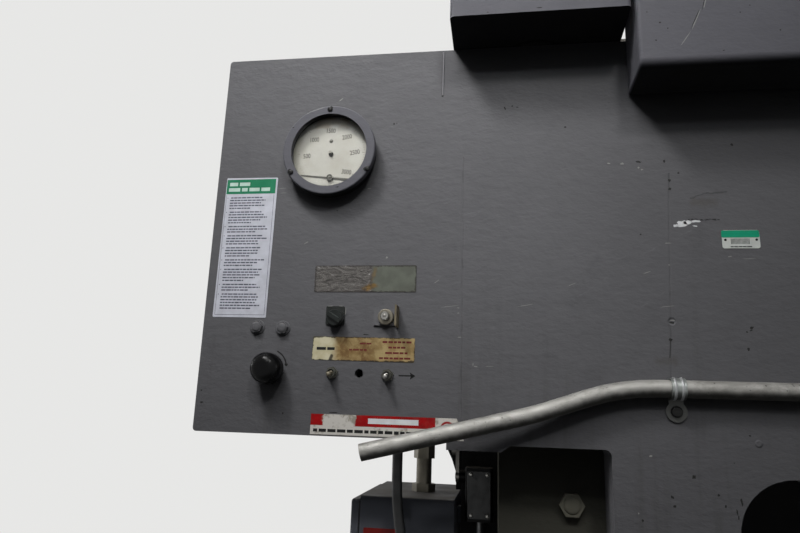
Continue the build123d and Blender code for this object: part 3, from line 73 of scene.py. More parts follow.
# A small writer for procedural materials
class Paint:
    """Builds one node material; every method returns a socket."""

    def __init__(self, name):
        self.mat = bpy.data.materials.new(name)
        self.mat.use_nodes = True
        self.tree = self.mat.node_tree
        self.tree.nodes.clear()
        self.shader = self.add("ShaderNodeBsdfPrincipled")
        self.out = self.add("ShaderNodeOutputMaterial")
        self.tree.links.new(self.shader.outputs[0], self.out.inputs[0])
        self.place = self.add("ShaderNodeTexCoord").outputs["Object"]

    def add(self, kind, **values):
        node = self.tree.nodes.new(kind)
        for name, value in values.items():
            self.link(value, node.inputs[name])
        return node

    def link(self, source, target):
        if isinstance(source, bpy.types.NodeSocket):
            self.tree.links.new(source, target)
        elif hasattr(target, "default_value"):
            target.default_value = source

    def math(self, op, a, b=0.0, clamp=False):
        node = self.add("ShaderNodeMath")
        node.operation = op
        node.use_clamp = clamp
        self.link(a, node.inputs[0])
        self.link(b, node.inputs[1])
        return node.outputs[0]

    def by(self, a, b):
        return self.math("MULTIPLY", a, b)

    def plus(self, a, b):
        return self.math("ADD", a, b)

    def less(self, a, b):
        return self.math("SUBTRACT", a, b)

    def vec(self, op, a, b=(0, 0, 0), value=False):
        node = self.add("ShaderNodeVectorMath")
        node.operation = op
        self.link(a, node.inputs[0])
        if op == "SCALE":
            self.link(b, node.inputs["Scale"])
        else:
            self.link(b, node.inputs[1])
        return node.outputs["Value" if value else "Vector"]

    def noise(self, scale, detail=2.0, rough=0.5, warp=0.0, stretch=None):
        where = self.vec("MULTIPLY", self.place, stretch) if stretch else self.place
        node = self.add("ShaderNodeTexNoise", Vector=where, Scale=scale, Detail=detail,
                        Roughness=rough, Distortion=warp)
        return node.outputs["Fac"]

    def cells(self, scale):
        return self.add("ShaderNodeTexVoronoi", Vector=self.place, Scale=scale).outputs["Distance"]

    def ramp(self, value, low, high, to_low=0.0, to_high=1.0):
        node = self.add("ShaderNodeMapRange")
        node.clamp = True
        node.interpolation_type = "SMOOTHSTEP"
        for source, target in zip((value, low, high, to_low, to_high), node.inputs):
            self.link(source, target)
        return node.outputs["Result"]

    def mix(self, fac, a, b):
        node = self.add("ShaderNodeMix")
        node.data_type = "RGBA"
        self.link(fac, node.inputs[0])
        self.link(a, node.inputs[6])
        self.link(b, node.inputs[7])
        return node.outputs[2]

    def lay(self, mask, amount, tone, color):
        """A colour laid over the tone where the mask says, at a given strength."""
        return self.mix(self.by(mask, amount), tone, color)

    def bump(self, height, distance, normal=None):
        node = self.add("ShaderNodeBump", Strength=1.0, Distance=distance, Height=height)
        if normal is not None:
            self.link(normal, node.inputs["Normal"])
        return node.outputs["Normal"]

    def part(self, vector, which):
        return self.add("ShaderNodeSeparateXYZ", Vector=vector).outputs[which]

    def axis(self, which):
        return self.part(self.place, which)

    def facing(self, which, away=False):
        """How much the surface faces along an axis, from its own normal."""
        value = self.part(self.add("ShaderNodeNewGeometry").outputs["True Normal"], which)
        return self.by(value, -1.0) if away else value

    def segment(self, a, b, width, soft, wobble=0.0, wobble_scale=60.0):
        """A soft line between two spots (x, z in millimetres) on an upright face."""
        flat = self.vec("MULTIPLY", self.place, (1, 0, 1))
        if wobble:
            shift = self.add("ShaderNodeTexNoise", Vector=self.place, Scale=wobble_scale, Detail=3.0)
            moved = self.vec("SUBTRACT", shift.outputs["Color"], (0.5, 0.5, 0.5))
            moved = self.vec("MULTIPLY", moved, (wobble, 0, wobble))
            flat = self.vec("ADD", flat, moved)
        start = Vector((a[0] * MM, 0, a[1] * MM))
        run = Vector((b[0] * MM, 0, b[1] * MM)) - start
        offset = self.vec("SUBTRACT", flat, tuple(start))
        along = self.vec("DOT_PRODUCT", offset, tuple(run / run.length_squared), value=True)
        along = self.math("ADD", along, 0.0, clamp=True)
        gap = self.vec("SUBTRACT", offset, self.vec("SCALE", tuple(run), along))
        far = self.vec("LENGTH", gap, value=True)
        return self.ramp(far, width * MM, (width + soft) * MM, 1.0, 0.0)

    def spot(self, x, z, radius, soft):
        return self.segment((x, z), (x + 0.05, z), radius, soft)

    def gloss(self, amount):
        self.shader.inputs["Specular IOR Level"].default_value = amount

    def set(self, color=None, rough=None, metal=None, normal=None, **others):
        sockets = {"Base Color": color, "Roughness": rough, "Metallic": metal, "Normal": normal}
        sockets.update(others)
        for name, value in sockets.items():
            if value is not None:
                self.link(value, self.shader.inputs[name])
        return self.mat


def srgb(red, green, blue):
    def one(value):
        value /= 255.0
        return value / 12.92 if value <= 0.04045 else ((value + 0.055) / 1.055) ** 2.4
    return (one(red), one(green), one(blue), 1.0)


def times(color, amount):
    return (color[0] * amount, color[1] * amount, color[2] * amount, 1.0)


def mm(x, y, z):
    """A spot given in millimetres, in metres."""
    return (x * MM, y * MM, z * MM)


def enamel(name, color, rough=0.46, dirt=0.35, chips=True, peel=1.0, marks=None, shine=0.06):
    """Brushed machine enamel: soft clouds, brush marks, grime, dust on top, painted shade on the
    undersides.
    """
    p = Paint(name)
    clouds = p.ramp(p.noise(2.6, 4, 0.55), 0.3, 0.72)
    tone = p.mix(clouds, times(color, 0.92), times(color, 1.06))
    mottle = p.ramp(p.noise(42, 3, 0.6), 0.35, 0.7)
    tone = p.lay(mottle, 0.2, tone, times(color, 0.84))
    brush = p.noise(70, 3, 0.6, stretch=(0.14, 0.14, 2.4))
    tone = p.lay(p.ramp(brush, 0.5, 0.75), 0.2, tone, times(color, 0.82))
    dark = times(color, 0.5)
    grime = p.ramp(p.noise(11, 6, 0.7, warp=0.6), 0.54, 0.8)
    tone = p.lay(grime, dirt, tone, dark)
    specks = p.ramp(p.cells(90), 0.04, 0.08, 1.0, 0.0)
    rare = p.ramp(p.noise(9, 2, 0.5), 0.6, 0.66)
    tone = p.lay(p.by(specks, rare), 0.5, tone, dark)
    if chips:
        chip = p.by(p.ramp(p.noise(55, 5, 0.65), 0.74, 0.76), p.ramp(
            p.noise(5, 1, 0.5), 0.56, 0.66))
        tone = p.lay(chip, 0.5, tone, times(color, 1.5))
    fine = p.noise(240, 2, 0.5, stretch=(0.7, 0.7, 1.2))
    coarse = p.noise(75, 3, 0.55, stretch=(0.6, 0.6, 1.05))
    height = p.plus(p.by(fine, 0.4), coarse)
    normal = p.bump(height, 0.0005 * peel)
    wear = p.ramp(p.noise(24, 4, 0.6), 0.3, 0.75, rough - 0.04, rough + 0.12)
    if marks:
        tone, normal = marks(p, tone, normal)
    settled = p.ramp(p.noise(6, 5, 0.65), 0.3, 0.7, 0.35, 0.85)
    dust = p.by(p.ramp(p.facing(2), 0.6, 0.95), settled)
    tone = p.mix(dust, tone, srgb(110, 105, 97))
    # Painted shade: faces that look down are darkened almost to black.
    under = p.ramp(p.facing(2, away=True), 0.6, 0.95)
    tone = p.lay(under, 0.92, tone, srgb(9, 9, 8))
    wear = p.plus(wear, p.by(p.math("MAXIMUM", dust, under), 0.3))
    p.gloss(shine)
    return p.set(tone, wear, None, normal)


def worn_steel(name, color, rough=0.38, rust=0.2, grain=(1, 1, 1), metal=0.9, scale=180):
    """Bare or plated steel with a drawn grain, stains and a little rust."""
    p = Paint(name)
    lines = p.noise(scale, 4, 0.6, stretch=grain)
    tone = p.mix(lines, times(color, 0.72), times(color, 1.15))
    stain = p.ramp(p.noise(14, 5, 0.65, warp=0.4), 0.5, 0.8)
    tone = p.lay(stain, 0.5, tone, times(color, 0.5))
    spots = p.ramp(p.noise(60, 5, 0.7), 0.62, 0.74)
    tone = p.lay(spots, rust, tone, srgb(84, 58, 40))
    shine = p.ramp(p.noise(35, 4, 0.6), 0.3, 0.75, rough - 0.1, rough + 0.2)
    return p.set(tone, shine, metal, p.bump(lines, 0.0002))


def moulding(name, color, rough=0.3, dust=0.25, shine=0.3):
    """Moulded plastic or rubber: fine grain, dust in patches, handled shine."""
    p = Paint(name)
    p.gloss(shine)
    soft = p.ramp(p.noise(30, 4, 0.6), 0.4, 0.8)
    lighter = (color[0] + 0.03, color[1] + 0.03, color[2] + 0.03, 1.0)
    tone = p.lay(soft, dust, color, lighter)
    shine = p.ramp(p.noise(80, 3, 0.5), 0.3, 0.8, rough - 0.06, rough + 0.18)
    return p.set(tone, shine, None, p.bump(p.noise(500, 2, 0.5), 0.0001))


grey = srgb(93, 93, 96)


def ram_marks(p, tone, normal):
    """Welds under the paint, a run, thin smudges, painted shadow under the tube, painted shade low down."""
    front = p.ramp(p.facing(1, away=True), 0.5, 0.9)
    dark = srgb(38, 37, 36)
    brown = srgb(66, 60, 50)

    def stain(mask, color, amount):
        nonlocal tone
        tone = p.lay(p.by(mask, front), amount, tone, color)

    broken = p.ramp(p.noise(28, 3, 0.6), 0.42, 0.62)
    seam_a = p.segment((-1203, 1880), (-1202, 1505), 0.3, 1.3, 0.004)
    seam_b = p.segment((-931, 1850), (-946, 1545), 0.3, 1.3, 0.003)
    run = p.segment((-1233, 2046), (-1233.5, 1979), 0.6, 1.4)
    stain(p.by(seam_a, broken), dark, 0.3)
    stain(p.by(seam_b, broken), dark, 0.3)
    ragged = p.ramp(p.noise(210, 3, 0.6), 0.4, 0.58)
    stain(p.segment((-1234.6, 2044), (-1235, 1980), 0.3, 0.9), dark, 0.3)
    stain(run, times(grey, 1.9), 0.75)
    nick_row = p.segment((-910, 1786.6), (-873, 1786), 0.3, 1.2, 0.005, 170)
    stain(p.by(nick_row, ragged), srgb(22, 22, 21), 0.9)
    stain(p.segment((-906, 1816), (-886, 1822), 0.2, 1.3, 0.005, 110), dark, 0.4)
    stain(p.segment((-886, 1822), (-862, 1823.5), 0.2, 1.5, 0.005, 110), dark, 0.45)
    stain(p.segment((-903, 1810), (-878, 1810), 0.5, 9.0, 0.012, 130), brown, 0.3)
    stain(p.segment((-958, 1603), (-938, 1603), 0.5, 7.0, 0.012, 130), brown, 0.3)
    # Painted shadow: a near-black band on the face just under the tube, along its run.
    tube_shadow_line = ((-1190, 1505), (-1078, 1537), (-985, 1553), (945, 1556))
    for ends in zip(tube_shadow_line, tube_shadow_line[1:]):
        stain(p.segment(*ends, 0.5, 9.0, 0.003), srgb(6, 6, 6), 0.8)
    stain(p.segment((-942, 1628), (-944, 1608), 0.4, 0.8, 0.002), dark, 0.75)
    scratches = (
        ((-1090, 1661), (-1040, 1692.9), (-973, 1738), (-907.6, 1772.4)),
        ((-985, 1664), (-913.5, 1712.9), (-886, 1729.8)),
        ((-1120, 1640), (-1020, 1662)),
    )
    for corners in scratches:
        for ends in zip(corners, corners[1:]):
            stain(p.by(p.segment(*ends, 0.1, 1.1, 0.007, 90), broken), times(grey, 1.3), 0.45)
    # Painted shade: the face grows darker from 1.8 m down to 1.4 m.
    stain(p.ramp(p.axis(2), 1.4, 1.8, 1.0, 0.0), times(grey, 0.6), 0.45)
    low = p.ramp(p.axis(2), 1.2, 1.9, 1.0, 0.0)
    drips = p.ramp(p.noise(30, 5, 0.7, stretch=(1, 1, 0.08)), 0.5, 0.72)
    stain(p.by(drips, low), srgb(52, 50, 46), 0.35)
    lump = p.plus(p.by(seam_a, -0.35), p.by(run, 1.5))
    lump = p.plus(lump, p.by(seam_b, -0.35))
    lump = p.plus(lump, p.spot(-850, 1508, 2.6, 2.5))
    lump = p.less(lump, p.spot(-939, 1653, 3.0, 2.5))
    normal = p.bump(p.by(lump, front), 0.0009, normal)
    return tone, normal


paint_ram = enamel("ram enamel", grey, 0.46, 0.3, peel=1.8, marks=ram_marks)
paint_body = enamel("machine enamel", srgb(95, 95, 98), 0.46, 0.4, peel=1.0)
paint_housing = enamel("housing enamel", srgb(91, 91, 97), 0.42, 0.3, peel=1.2)
paint_frame = enamel("frame enamel", srgb(84, 84, 85), 0.6, 0.55, peel=1.2, shine=0.03)
paint_tank = enamel("tank enamel", srgb(90, 91, 92), 0.44, 0.5)
paint_motor = enamel("motor enamel", srgb(66, 72, 76), 0.4, 0.4)
paint_box = enamel("enclosure enamel", srgb(108, 111, 119), 0.42, 0.5, peel=0.8)
paint_gib = enamel("gib plate enamel", srgb(82, 81, 74), 0.55, 0.6, peel=1.2, shine=0.03)
paint_bolt = enamel("gib bolt enamel", srgb(122, 120, 108), 0.5, 0.5, peel=0.8)
paint_base = enamel("plate enamel", srgb(46, 48, 47), 0.4, 0.4, peel=0.6)
black_paint = enamel("black enamel", srgb(22, 22, 23), 0.36, 0.3, chips=False)
black_gloss = moulding("black moulding", srgb(5, 5, 6), 0.24, 0.08, 0.1)
black_knob = moulding("knob moulding", srgb(22, 26, 25), 0.34, 0.3, 0.16)
screw_black = moulding("blackened screw", srgb(14, 14, 14), 0.34, 0.2, 0.16)
rubber = moulding("hose rubber", srgb(17, 18, 19), 0.5, 0.5)
gear_plastic = moulding("control gear", srgb(44, 45, 46), 0.4, 0.3)
tool_steel = worn_steel("tool steel", srgb(118, 118, 116), 0.32, 0.25, (0.05, 1, 1))
bare_steel = worn_steel("bare steel", srgb(104, 102, 98), 0.4, 0.35)
zinc = worn_steel("zinc", srgb(150, 152, 153), 0.5, 0.06, (0.15, 1, 1), 0.55, 120)
plated = worn_steel("plated bracket", srgb(104, 100, 90), 0.4, 0.35, (1, 1, 0.2), 0.75, 140)
nickel = worn_steel("nickel plate", srgb(142, 141, 137), 0.34, 0.15)
dull_nickel = worn_steel("worn nickel", srgb(104, 98, 84), 0.42, 0.5, metal=0.6)
dull_steel = worn_steel("soiled steel", srgb(66, 66, 60), 0.45, 0.4, metal=0.6)
flex_steel = worn_steel("wound conduit", srgb(96, 97, 98), 0.4, 0.2)


def tube_paint():
    """Old zinc tube: pale and mottled on top, pitted, with painted shade making its underside near black.
    """
    p = Paint("zinc tube")
    color = srgb(152, 151, 147)
    lines = p.noise(110, 4, 0.6, stretch=(0.15, 1, 1))
    tone = p.mix(lines, times(color, 0.74), times(color, 1.14))
    blotch = p.ramp(p.noise(34, 5, 0.7, warp=0.5, stretch=(0.5, 1, 1)), 0.46, 0.66)
    tone = p.lay(blotch, 0.5, tone, srgb(92, 90, 86))
    pits = p.ramp(p.cells(150), 0.1, 0.2, 1.0, 0.0)
    tone = p.lay(p.by(pits, blotch), 0.8, tone, srgb(40, 38, 34))
    # Painted shade: the side that faces down goes near black, less metallic and rougher.
    level = p.part(p.add("ShaderNodeNewGeometry").outputs["Normal"], 2)
    uneven = p.by(p.less(p.noise(60, 4, 0.6), 0.5), 0.7)
    tube_underside_shade = p.ramp(p.plus(level, uneven), -0.75, 0.15, 1.0, 0.0)
    tone = p.lay(tube_underside_shade, 0.9, tone, srgb(20, 19, 16))
    metal = p.less(0.42, p.by(tube_underside_shade, 0.38))
    p.gloss(0.3)
    shine = p.ramp(p.noise(70, 4, 0.6), 0.3, 0.75, 0.48, 0.7)
    shine = p.plus(shine, p.by(tube_underside_shade, 0.25))
    height = p.less(p.noise(90, 4, 0.6), p.by(pits, 0.6))
    return p.set(tone, shine, metal, p.bump(height, 0.0004))


def strap_paint():
    """Zinc strap: bright over the tube, with painted shadow making its ear dark."""
    p = Paint("strap zinc")
    color = srgb(140, 144, 142)
    lines = p.noise(150, 4, 0.6, stretch=(1, 0.3, 0.3))
    tone = p.mix(lines, times(color, 0.6), times(color, 1.2))
    # Painted shadow: below the tube the ear is darkened, made rougher and less metallic.
    ear = p.ramp(p.plus(p.axis(2), p.by(p.noise(90, 4), 0.006)), 1.562, 1.571, 1.0, 0.0)
    tone = p.lay(ear, 0.93, tone, srgb(34, 34, 32))
    metal = p.less(0.65, p.by(ear, 0.6))
    return p.set(tone, p.plus(0.36, p.by(ear, 0.2)), metal, p.bump(lines, 0.0003))


def bracket_paint():
    """Bracket painted with the panel; only the bare end of its tab shows the plating."""
    p = Paint("bracket finish")
    bare = p.ramp(p.axis(0), -1.2905, -1.2895)
    paint = p.mix(p.ramp(p.noise(42, 3, 0.6), 0.3, 0.7), times(grey, 1.04), times(grey, 0.85))
    brass = p.mix(p.ramp(p.noise(60, 4), 0.3, 0.7), srgb(112, 104, 86), srgb(84, 78, 64))
    metal = p.by(bare, 0.4)
    p.gloss(0.2)
    return p.set(p.mix(bare, paint, brass), 0.55, metal, p.bump(p.noise(120, 3), 0.0003))


def rod_paint():
    """Chromed rods, with painted shade making them black round their feet."""
    p = Paint("hard chrome")
    ground = p.mix(p.noise(180, 3, 0.6, stretch=(1, 1, 0.1)), srgb(190, 192, 196), srgb(214, 216, 218))
    # Painted shade: below about 2.1 m the rods go black, dull and hardly metallic.
    foot_shade = p.ramp(p.plus(p.axis(2), p.by(p.noise(60, 4), 0.02)), 2.1, 2.12, 1.0, 0.0)
    tone = p.lay(foot_shade, 0.97, ground, srgb(10, 9, 8))
    metal = p.less(0.95, p.by(foot_shade, 0.95))
    shine = p.plus(0.12, p.by(foot_shade, 0.6))
    p.gloss(0.06)
    return p.set(tone, shine, metal, p.bump(p.noise(200), 0.00006))


def case_marks(p, tone, normal):
    """The bare spindle stands in the middle of the dark case."""
    return p.mix(p.spot(-1392, 1890, 3.0, 0.3), tone, srgb(150, 149, 140)), normal


paint_case = enamel("case enamel", srgb(22, 22, 23), 0.36, 0.3, chips=False, marks=case_marks)
pointer_grey = moulding("pointer enamel", srgb(66, 65, 58), 0.4, 0.5)


def dial_paint():
    """Off-white enamel gone yellow, with a brown stain near its top and a soiled rim."""
    p = Paint("dial enamel")
    clouds = p.ramp(p.noise(26, 4, 0.6), 0.3, 0.75)
    tone = p.mix(clouds, srgb(173, 172, 164), srgb(161, 159, 148))
    away = p.vec("LENGTH", p.vec("SUBTRACT", p.vec("MULTIPLY", p.place, (1, 0, 1)), (-1.392, 0, 1.89)),
                 value=True)
    rim = p.ramp(p.plus(away, p.by(p.noise(40, 4, 0.6), 0.012)), 0.05, 0.064)
    tone = p.lay(rim, 0.55, tone, srgb(120, 118, 100))
    tone = p.lay(p.segment((-1410, 1938), (-1372, 1937), 2, 10, 0.02), 0.7, tone,
                 srgb(118, 96, 66))
    specks = p.ramp(p.cells(420), 0.05, 0.1, 1.0, 0.0)
    tone = p.lay(specks, 0.2, tone, srgb(120, 105, 80))
    return p.set(tone, 0.5, None, p.bump(p.noise(300), 0.00008))


def glass_paint():
    """Clear glass with a thin film of dust; light passes it without a dark shadow."""
    p = Paint("clear glass")
    dust = p.ramp(p.noise(45, 5, 0.65), 0.45, 0.8, 0.02, 0.07)
    p.mat.blend_method = "BLEND"
    return p.set(srgb(235, 238, 236), 0.06, IOR=1.45, Alpha=dust)


# What each piece of the model wears
wearers = (
    (paint_ram, "ram_plate control_panel panel_bolts"),
    (paint_body, "panel_back_box punch_holder bed crown_beam"),
    (paint_frame, "side_frame_left side_frame_right rear_crown"),
    (paint_gib, "gib_plates"),
    (paint_bolt, "gib_bolts"),
    (paint_housing, "cylinder_housing_left cylinder_housing_right front_cover gauge_ring"),
    (paint_tank, "oil_tank"),
    (paint_motor, "motor"),
    (paint_box, "enclosure enclosure_door"),
    (paint_base, "selector_base"),
    (paint_case, "gauge_case"),
    (black_paint, "pump solenoid_valves filler_breather cylinders limit_switch"),
    (black_gloss, "speed_knob"),
    (black_knob, "selector_knob"),
    (screw_black, "gauge_screws strap_screws"),
    (pointer_grey, "gauge_pointer"),
    (rubber, "enclosure_gasket hose_a hose_b"),
    (gear_plastic, "control_gear"),
    (tool_steel, "lower_die punch"),
    (bare_steel, "die_holder ram_guides clamp_screws drive_shaft valve_manifold limit_lever"),
    (bare_steel, "push_pipes pull_pipes pump_pipe"),
    (plated, "button_collar hose_connector"),
    (nickel, "push_button toggle_lever_right"),
    (dull_nickel, "toggle_lever_left"),
    (dull_steel, "toggle_bushes"),
    (flex_steel, "switch_conduit"),
    (tube_paint(), "conduit"),
    (strap_paint(), "conduit_straps"),
    (bracket_paint(), "button_bracket"),
    (rod_paint(), "piston_rods"),
    (dial_paint(), "gauge_dial"),
    (glass_paint(), "gauge_glass"),
)
for finish, names in wearers:
    for name in names.split():
        for place in nodes[name].material_slots:
            place.material = finish


# Pieces made here
def piece(name, mesh, finish, body):
    obj = bpy.data.objects.new(name, mesh)
    scene.collection.objects.link(obj)
    obj.data.materials.append(finish)
    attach(obj, body)


def mesh_from(bm, name, smooth=False):
    mesh = bpy.data.meshes.new(name)
    bmesh.ops.recalc_face_normals(bm, faces=bm.faces)
    bm.to_mesh(mesh)
    bm.free()
    for face in mesh.polygons:
        face.use_smooth = smooth
    return mesh


def skin(bm, rings):
    """Faces from ring to ring, closed at both ends."""
    count = len(rings[0])
    for low, high in zip(rings, rings[1:]):
        for i in range(count):
            j = (i + 1) % count
            bm.faces.new((low[i], low[j], high[j], high[i]))
    bm.faces.new(rings[-1])
    bm.faces.new(list(reversed(rings[0])))


def round_outline(x0, x1, z0, z1, radius, steps=5):
    """Points round a rectangle with round corners, in millimetres."""
    corners = (
        (x1 - radius, z1 - radius, 0), (x0 + radius, z1 - radius, 90),
        (x0 + radius, z0 + radius, 180), (x1 - radius, z0 + radius, 270),
    )
    points = []
    for cx, cz, start in corners:
        for step in range(steps + 1):
            angle = math.radians(start + 90.0 * step / steps)
            points.append((cx + radius * math.cos(angle), cz + radius * math.sin(angle)))
    return points


def sheet_plate(name, outline, y_back, thick, finish, body, tilt=0.0):
    """A thin plate or label on an upright face, from its outline."""
    middle_x = sum(p[0] for p in outline) / len(outline)
    middle_z = sum(p[1] for p in outline) / len(outline)
    spin = math.radians(tilt)
    bm = bmesh.new()
    rings = []
    for depth, inset in ((0.0, 0.0), (thick * 0.75, 0.0), (thick, thick * 0.5)):
        ring = []
        for x, z in outline:
            dx = x - middle_x
            dz = z - middle_z
            away = math.hypot(dx, dz) or 1.0
            dx -= inset * dx / away
            dz -= inset * dz / away
            px = middle_x + dx * math.cos(spin) - dz * math.sin(spin)
            pz = middle_z + dx * math.sin(spin) + dz * math.cos(spin)
            ring.append(bm.verts.new(mm(px, y_back - depth, pz)))
        rings.append(ring)
    skin(bm, rings)
    piece(name, mesh_from(bm, name), finish, body)


def studs(name, centres, profile, finish, body, axis="Y", steps=20, smooth=True):
    """Turned shapes in one mesh: profile of (radius, distance along the axis) in millimetres."""
    bm = bmesh.new()
    for centre in centres:
        rings = []
        for radius, along in profile:
            ring = []
            for i in range(steps):
                angle = 2 * math.pi * i / steps
                a = radius * math.cos(angle)
                b = radius * math.sin(angle)
                spot = {"Y": (a, -along, b), "Z": (a, b, along), "X": (along, a, b)}[axis]
                ring.append(bm.verts.new((Vector(centre) + Vector(spot)) * MM))
            rings.append(ring)
        skin(bm, rings)
    piece(name, mesh_from(bm, name, smooth), finish, body)


def turned(name, centre, profile, finish, body, steps=40, smooth=True):
    studs(name, [centre], profile, finish, body, "Y", steps, smooth)


def flat_color(name, color, rough=0.5, wear=0.3, worn=None):
    """Printed film or paint on a label: faded, scuffed and slightly uneven."""
    p = Paint(name)
    fade = p.ramp(p.noise(60, 4, 0.6), 0.3, 0.75)
    tone = p.mix(fade, times(color, 0.88), times(color, 1.06))
    rub = p.ramp(p.noise(132, 6, 0.7), 0.6, 0.72)
    tone = p.lay(rub, wear, tone, worn or times(color, 0.6))
    p.gloss(0.2)
    dull = p.ramp(p.noise(60, 2), 0.3, 0.7, rough - 0.1, rough + 0.12)
    return p.set(tone, dull, None, p.bump(p.noise(400), 0.00006))


# Faces, edges and pitches of the model that several pieces here share, in millimetres
FACE = -515.0
COVER_FACE = -595.0
HOUSING_FACE = -592.0
RING_FACE = -537.7
LID_TOP = 2380.0
DOOR_FACE = -1365.0
SWITCH_FACE = -362.9
TUBE_Y = FACE - 10.95
TUBE_Z = 1569.0
FIRST_STRAP = -940.5
STRAP_PITCH = 600.0
GIB_BOLT_X = 1059.0
GIB_BOLT_FACE = -441.8
LOWEST_GIB_BOLT = 1419.0
GIB_BOLT_PITCH = 120.0

white_film = flat_color("white film", srgb(188, 190, 200), 0.4, 0.12)
green_film = flat_color("green film", srgb(24, 112, 78), 0.4, 0.15)
ink = flat_color("grey ink", srgb(74, 76, 88), 0.5, 0.1)
pale_ink = flat_color("pale ink", srgb(176, 200, 190), 0.5, 0.1)
black_ink = flat_color("black ink", srgb(16, 16, 16), 0.5, 0.1)
red_ink = flat_color("faded red ink", srgb(92, 26, 28), 0.5, 0.5, worn=srgb(120, 96, 66))
dial_ink = flat_color("dial ink", srgb(104, 100, 90), 0.5, 0.3)
number_ink = flat_color("number ink", srgb(58, 56, 50), 0.5, 0.2)
chip_white = flat_color("bare primer", srgb(204, 206, 208), 0.6, 0.12)
chip_pale = flat_color("pale scuff", srgb(128, 128, 126), 0.5, 0.2)
dark_nick_and_shade = flat_color("dark nick and shade", srgb(30, 30, 29), 0.6, 0.2)


def upright_quads(name, quads, finish, y, body="ram"):
    """Flat marks on an upright face, each four corners (x, z) in millimetres."""
    bm = bmesh.new()
    for quad in quads:
        bm.faces.new([bm.verts.new(mm(x, y, z)) for x, z in quad])
    piece(name, mesh_from(bm, name), finish, body)


def rule(x0, x1, z0, z1):
    return [(x0, z0), (x1, z0), (x1, z1), (x0, z1)]


def dashes(rows):
    """Plain broken rulings: rows of (start, end, middle height, thickness)."""
    quads = []
    for x0, x1, z, tall in rows:
        x = x0
        while x < x1 - 0.2 * tall:
            end = min(x + chance.uniform(1.4, 4.2) * tall, x1)
            if x1 - end < 1.2 * tall:
                end = x1
            quads.append(rule(x, end, z - tall / 2, z + tall / 2))
            x = end + tall * 0.5
    return quads


def flecks(name, spots, finish, y=FACE, body="ram"):
    """Chips, nicks, painted shade and highlights: ragged thin patches given as (x, z, length, height,
    tilt).
    """
    quads = []
    for x, z, length, tall, tilt in spots:
        spin = math.radians(tilt)
        ring = []
        for step in range(12):
            angle = 2 * math.pi * step / 12
            ragged = chance.uniform(0.6, 1.15)
            a = length / 2 * math.cos(angle) * ragged
            b = tall / 2 * math.sin(angle) * ragged
            ring.append((x + a * math.cos(spin) - b * math.sin(spin),
                         z + a * math.sin(spin) + b * math.cos(spin)))
        quads.append(ring)
    upright_quads(name, quads, finish, y - 0.06, body)


# Tall label with a green head and plain broken rulings
tall = round_outline(-1550, -1472, 1652, 1858, 1.5)
sheet_plate("tall_label", tall, FACE - 0.02, 0.3, white_film, "ram", tilt=-0.4)
head = round_outline(-1548.4, -1473.8, 1833.5, 1855.8, 0.6)
sheet_plate("tall_label_head", head, FACE - 0.3, 0.12, green_film, "ram")
upright_quads("tall_label_bars", dashes([(-1544, -1513, 1848.4, 5.4), (-1545, -1482, 1840.0, 5.4)]),
              pale_ink, FACE - 0.46)
rows = []
level = 1827.6
for count in (5, 5, 3, 4, 4, 3, 5, 3, 6):
    for row in range(count):
        start = -1541.6 if row else -1540.4
        reach = chance.uniform(47, 61) if row < count - 1 else chance.uniform(30, 52)
        rows.append((start, start + reach, level, 1.75))
        if row == 0:
            rows.append((-1546.0, -1544.7, level, 1.3))
        level -= 4.0
    level -= 1.85
quads = dashes(rows)
quads.append(rule(-1548.0, -1547.5, 1656, 1832))
quads.append(rule(-1475.6, -1475.1, 1656, 1832))
quads.append(rule(-1548.0, -1475.1, 1655.5, 1656))
upright_quads("tall_label_lines", quads, ink, FACE - 0.38)


def torn_rim(p, sides):
    """The ragged rim of a label; every side is (axis, middle, start and end of the rim)."""
    ragged = p.by(p.less(p.noise(110, 5, 0.7), 0.5), 0.008)
    rim = 0.0
    for axis, middle, start, end in sides:
        away = p.math("ABSOLUTE", p.less(p.axis(axis), middle))
        rim = p.math("MAXIMUM", rim, p.ramp(p.plus(away, ragged), start, end))
    return rim


def peeled_paint():
    """What is left of a peeled plate: wrinkled foil, a smear of glue, dull paint, dark rim."""
    p = Paint("peeled plate")
    creases = p.noise(95, 6, 0.72, warp=1.6, stretch=(0.55, 1, 1.3))
    foil = p.mix(p.ramp(creases, 0.35, 0.62), srgb(46, 43, 41), srgb(88, 85, 82))
    foil = p.mix(p.ramp(creases, 0.62, 0.68), foil, srgb(166, 166, 166))
    right_side = p.ramp(p.axis(0), -1.327, -1.323)
    dull = p.mix(p.ramp(p.noise(60, 4), 0.35, 0.7), srgb(84, 88, 79), srgb(72, 75, 67))
    tone = p.mix(right_side, foil, dull)
    smear = p.by(p.segment((-1328, 1697), (-1322, 1720), 1.5, 4.0, 0.014, 80), 0.55)
    foot = p.segment((-1334, 1693), (-1321, 1697), 1.5, 5.0, 0.012, 90)
    glue = p.mix(p.ramp(p.noise(120, 5), 0.35, 0.65), srgb(104, 76, 14), srgb(50, 38, 20))
    tone = p.lay(p.math("MAXIMUM", smear, foot), 0.85, tone, glue)
    rim = torn_rim(p, ((0, -1.335, 0.0682, 0.0702), (2, 1.70725, 0.0160, 0.0178)))
    tone = p.lay(rim, 0.85, tone, srgb(26, 20, 17))
    p.gloss(0.3)
    folds = p.by(creases, p.less(1.1, right_side))
    return p.set(tone, p.ramp(creases, 0.3, 0.7, 0.6, 0.35), None, p.bump(folds, 0.0014))


sheet_plate("peeled_plate", round_outline(-1406, -1264, 1688.5, 1726, 2), FACE - 0.02, 0.35,
            peeled_paint(), "ram", tilt=0.2)


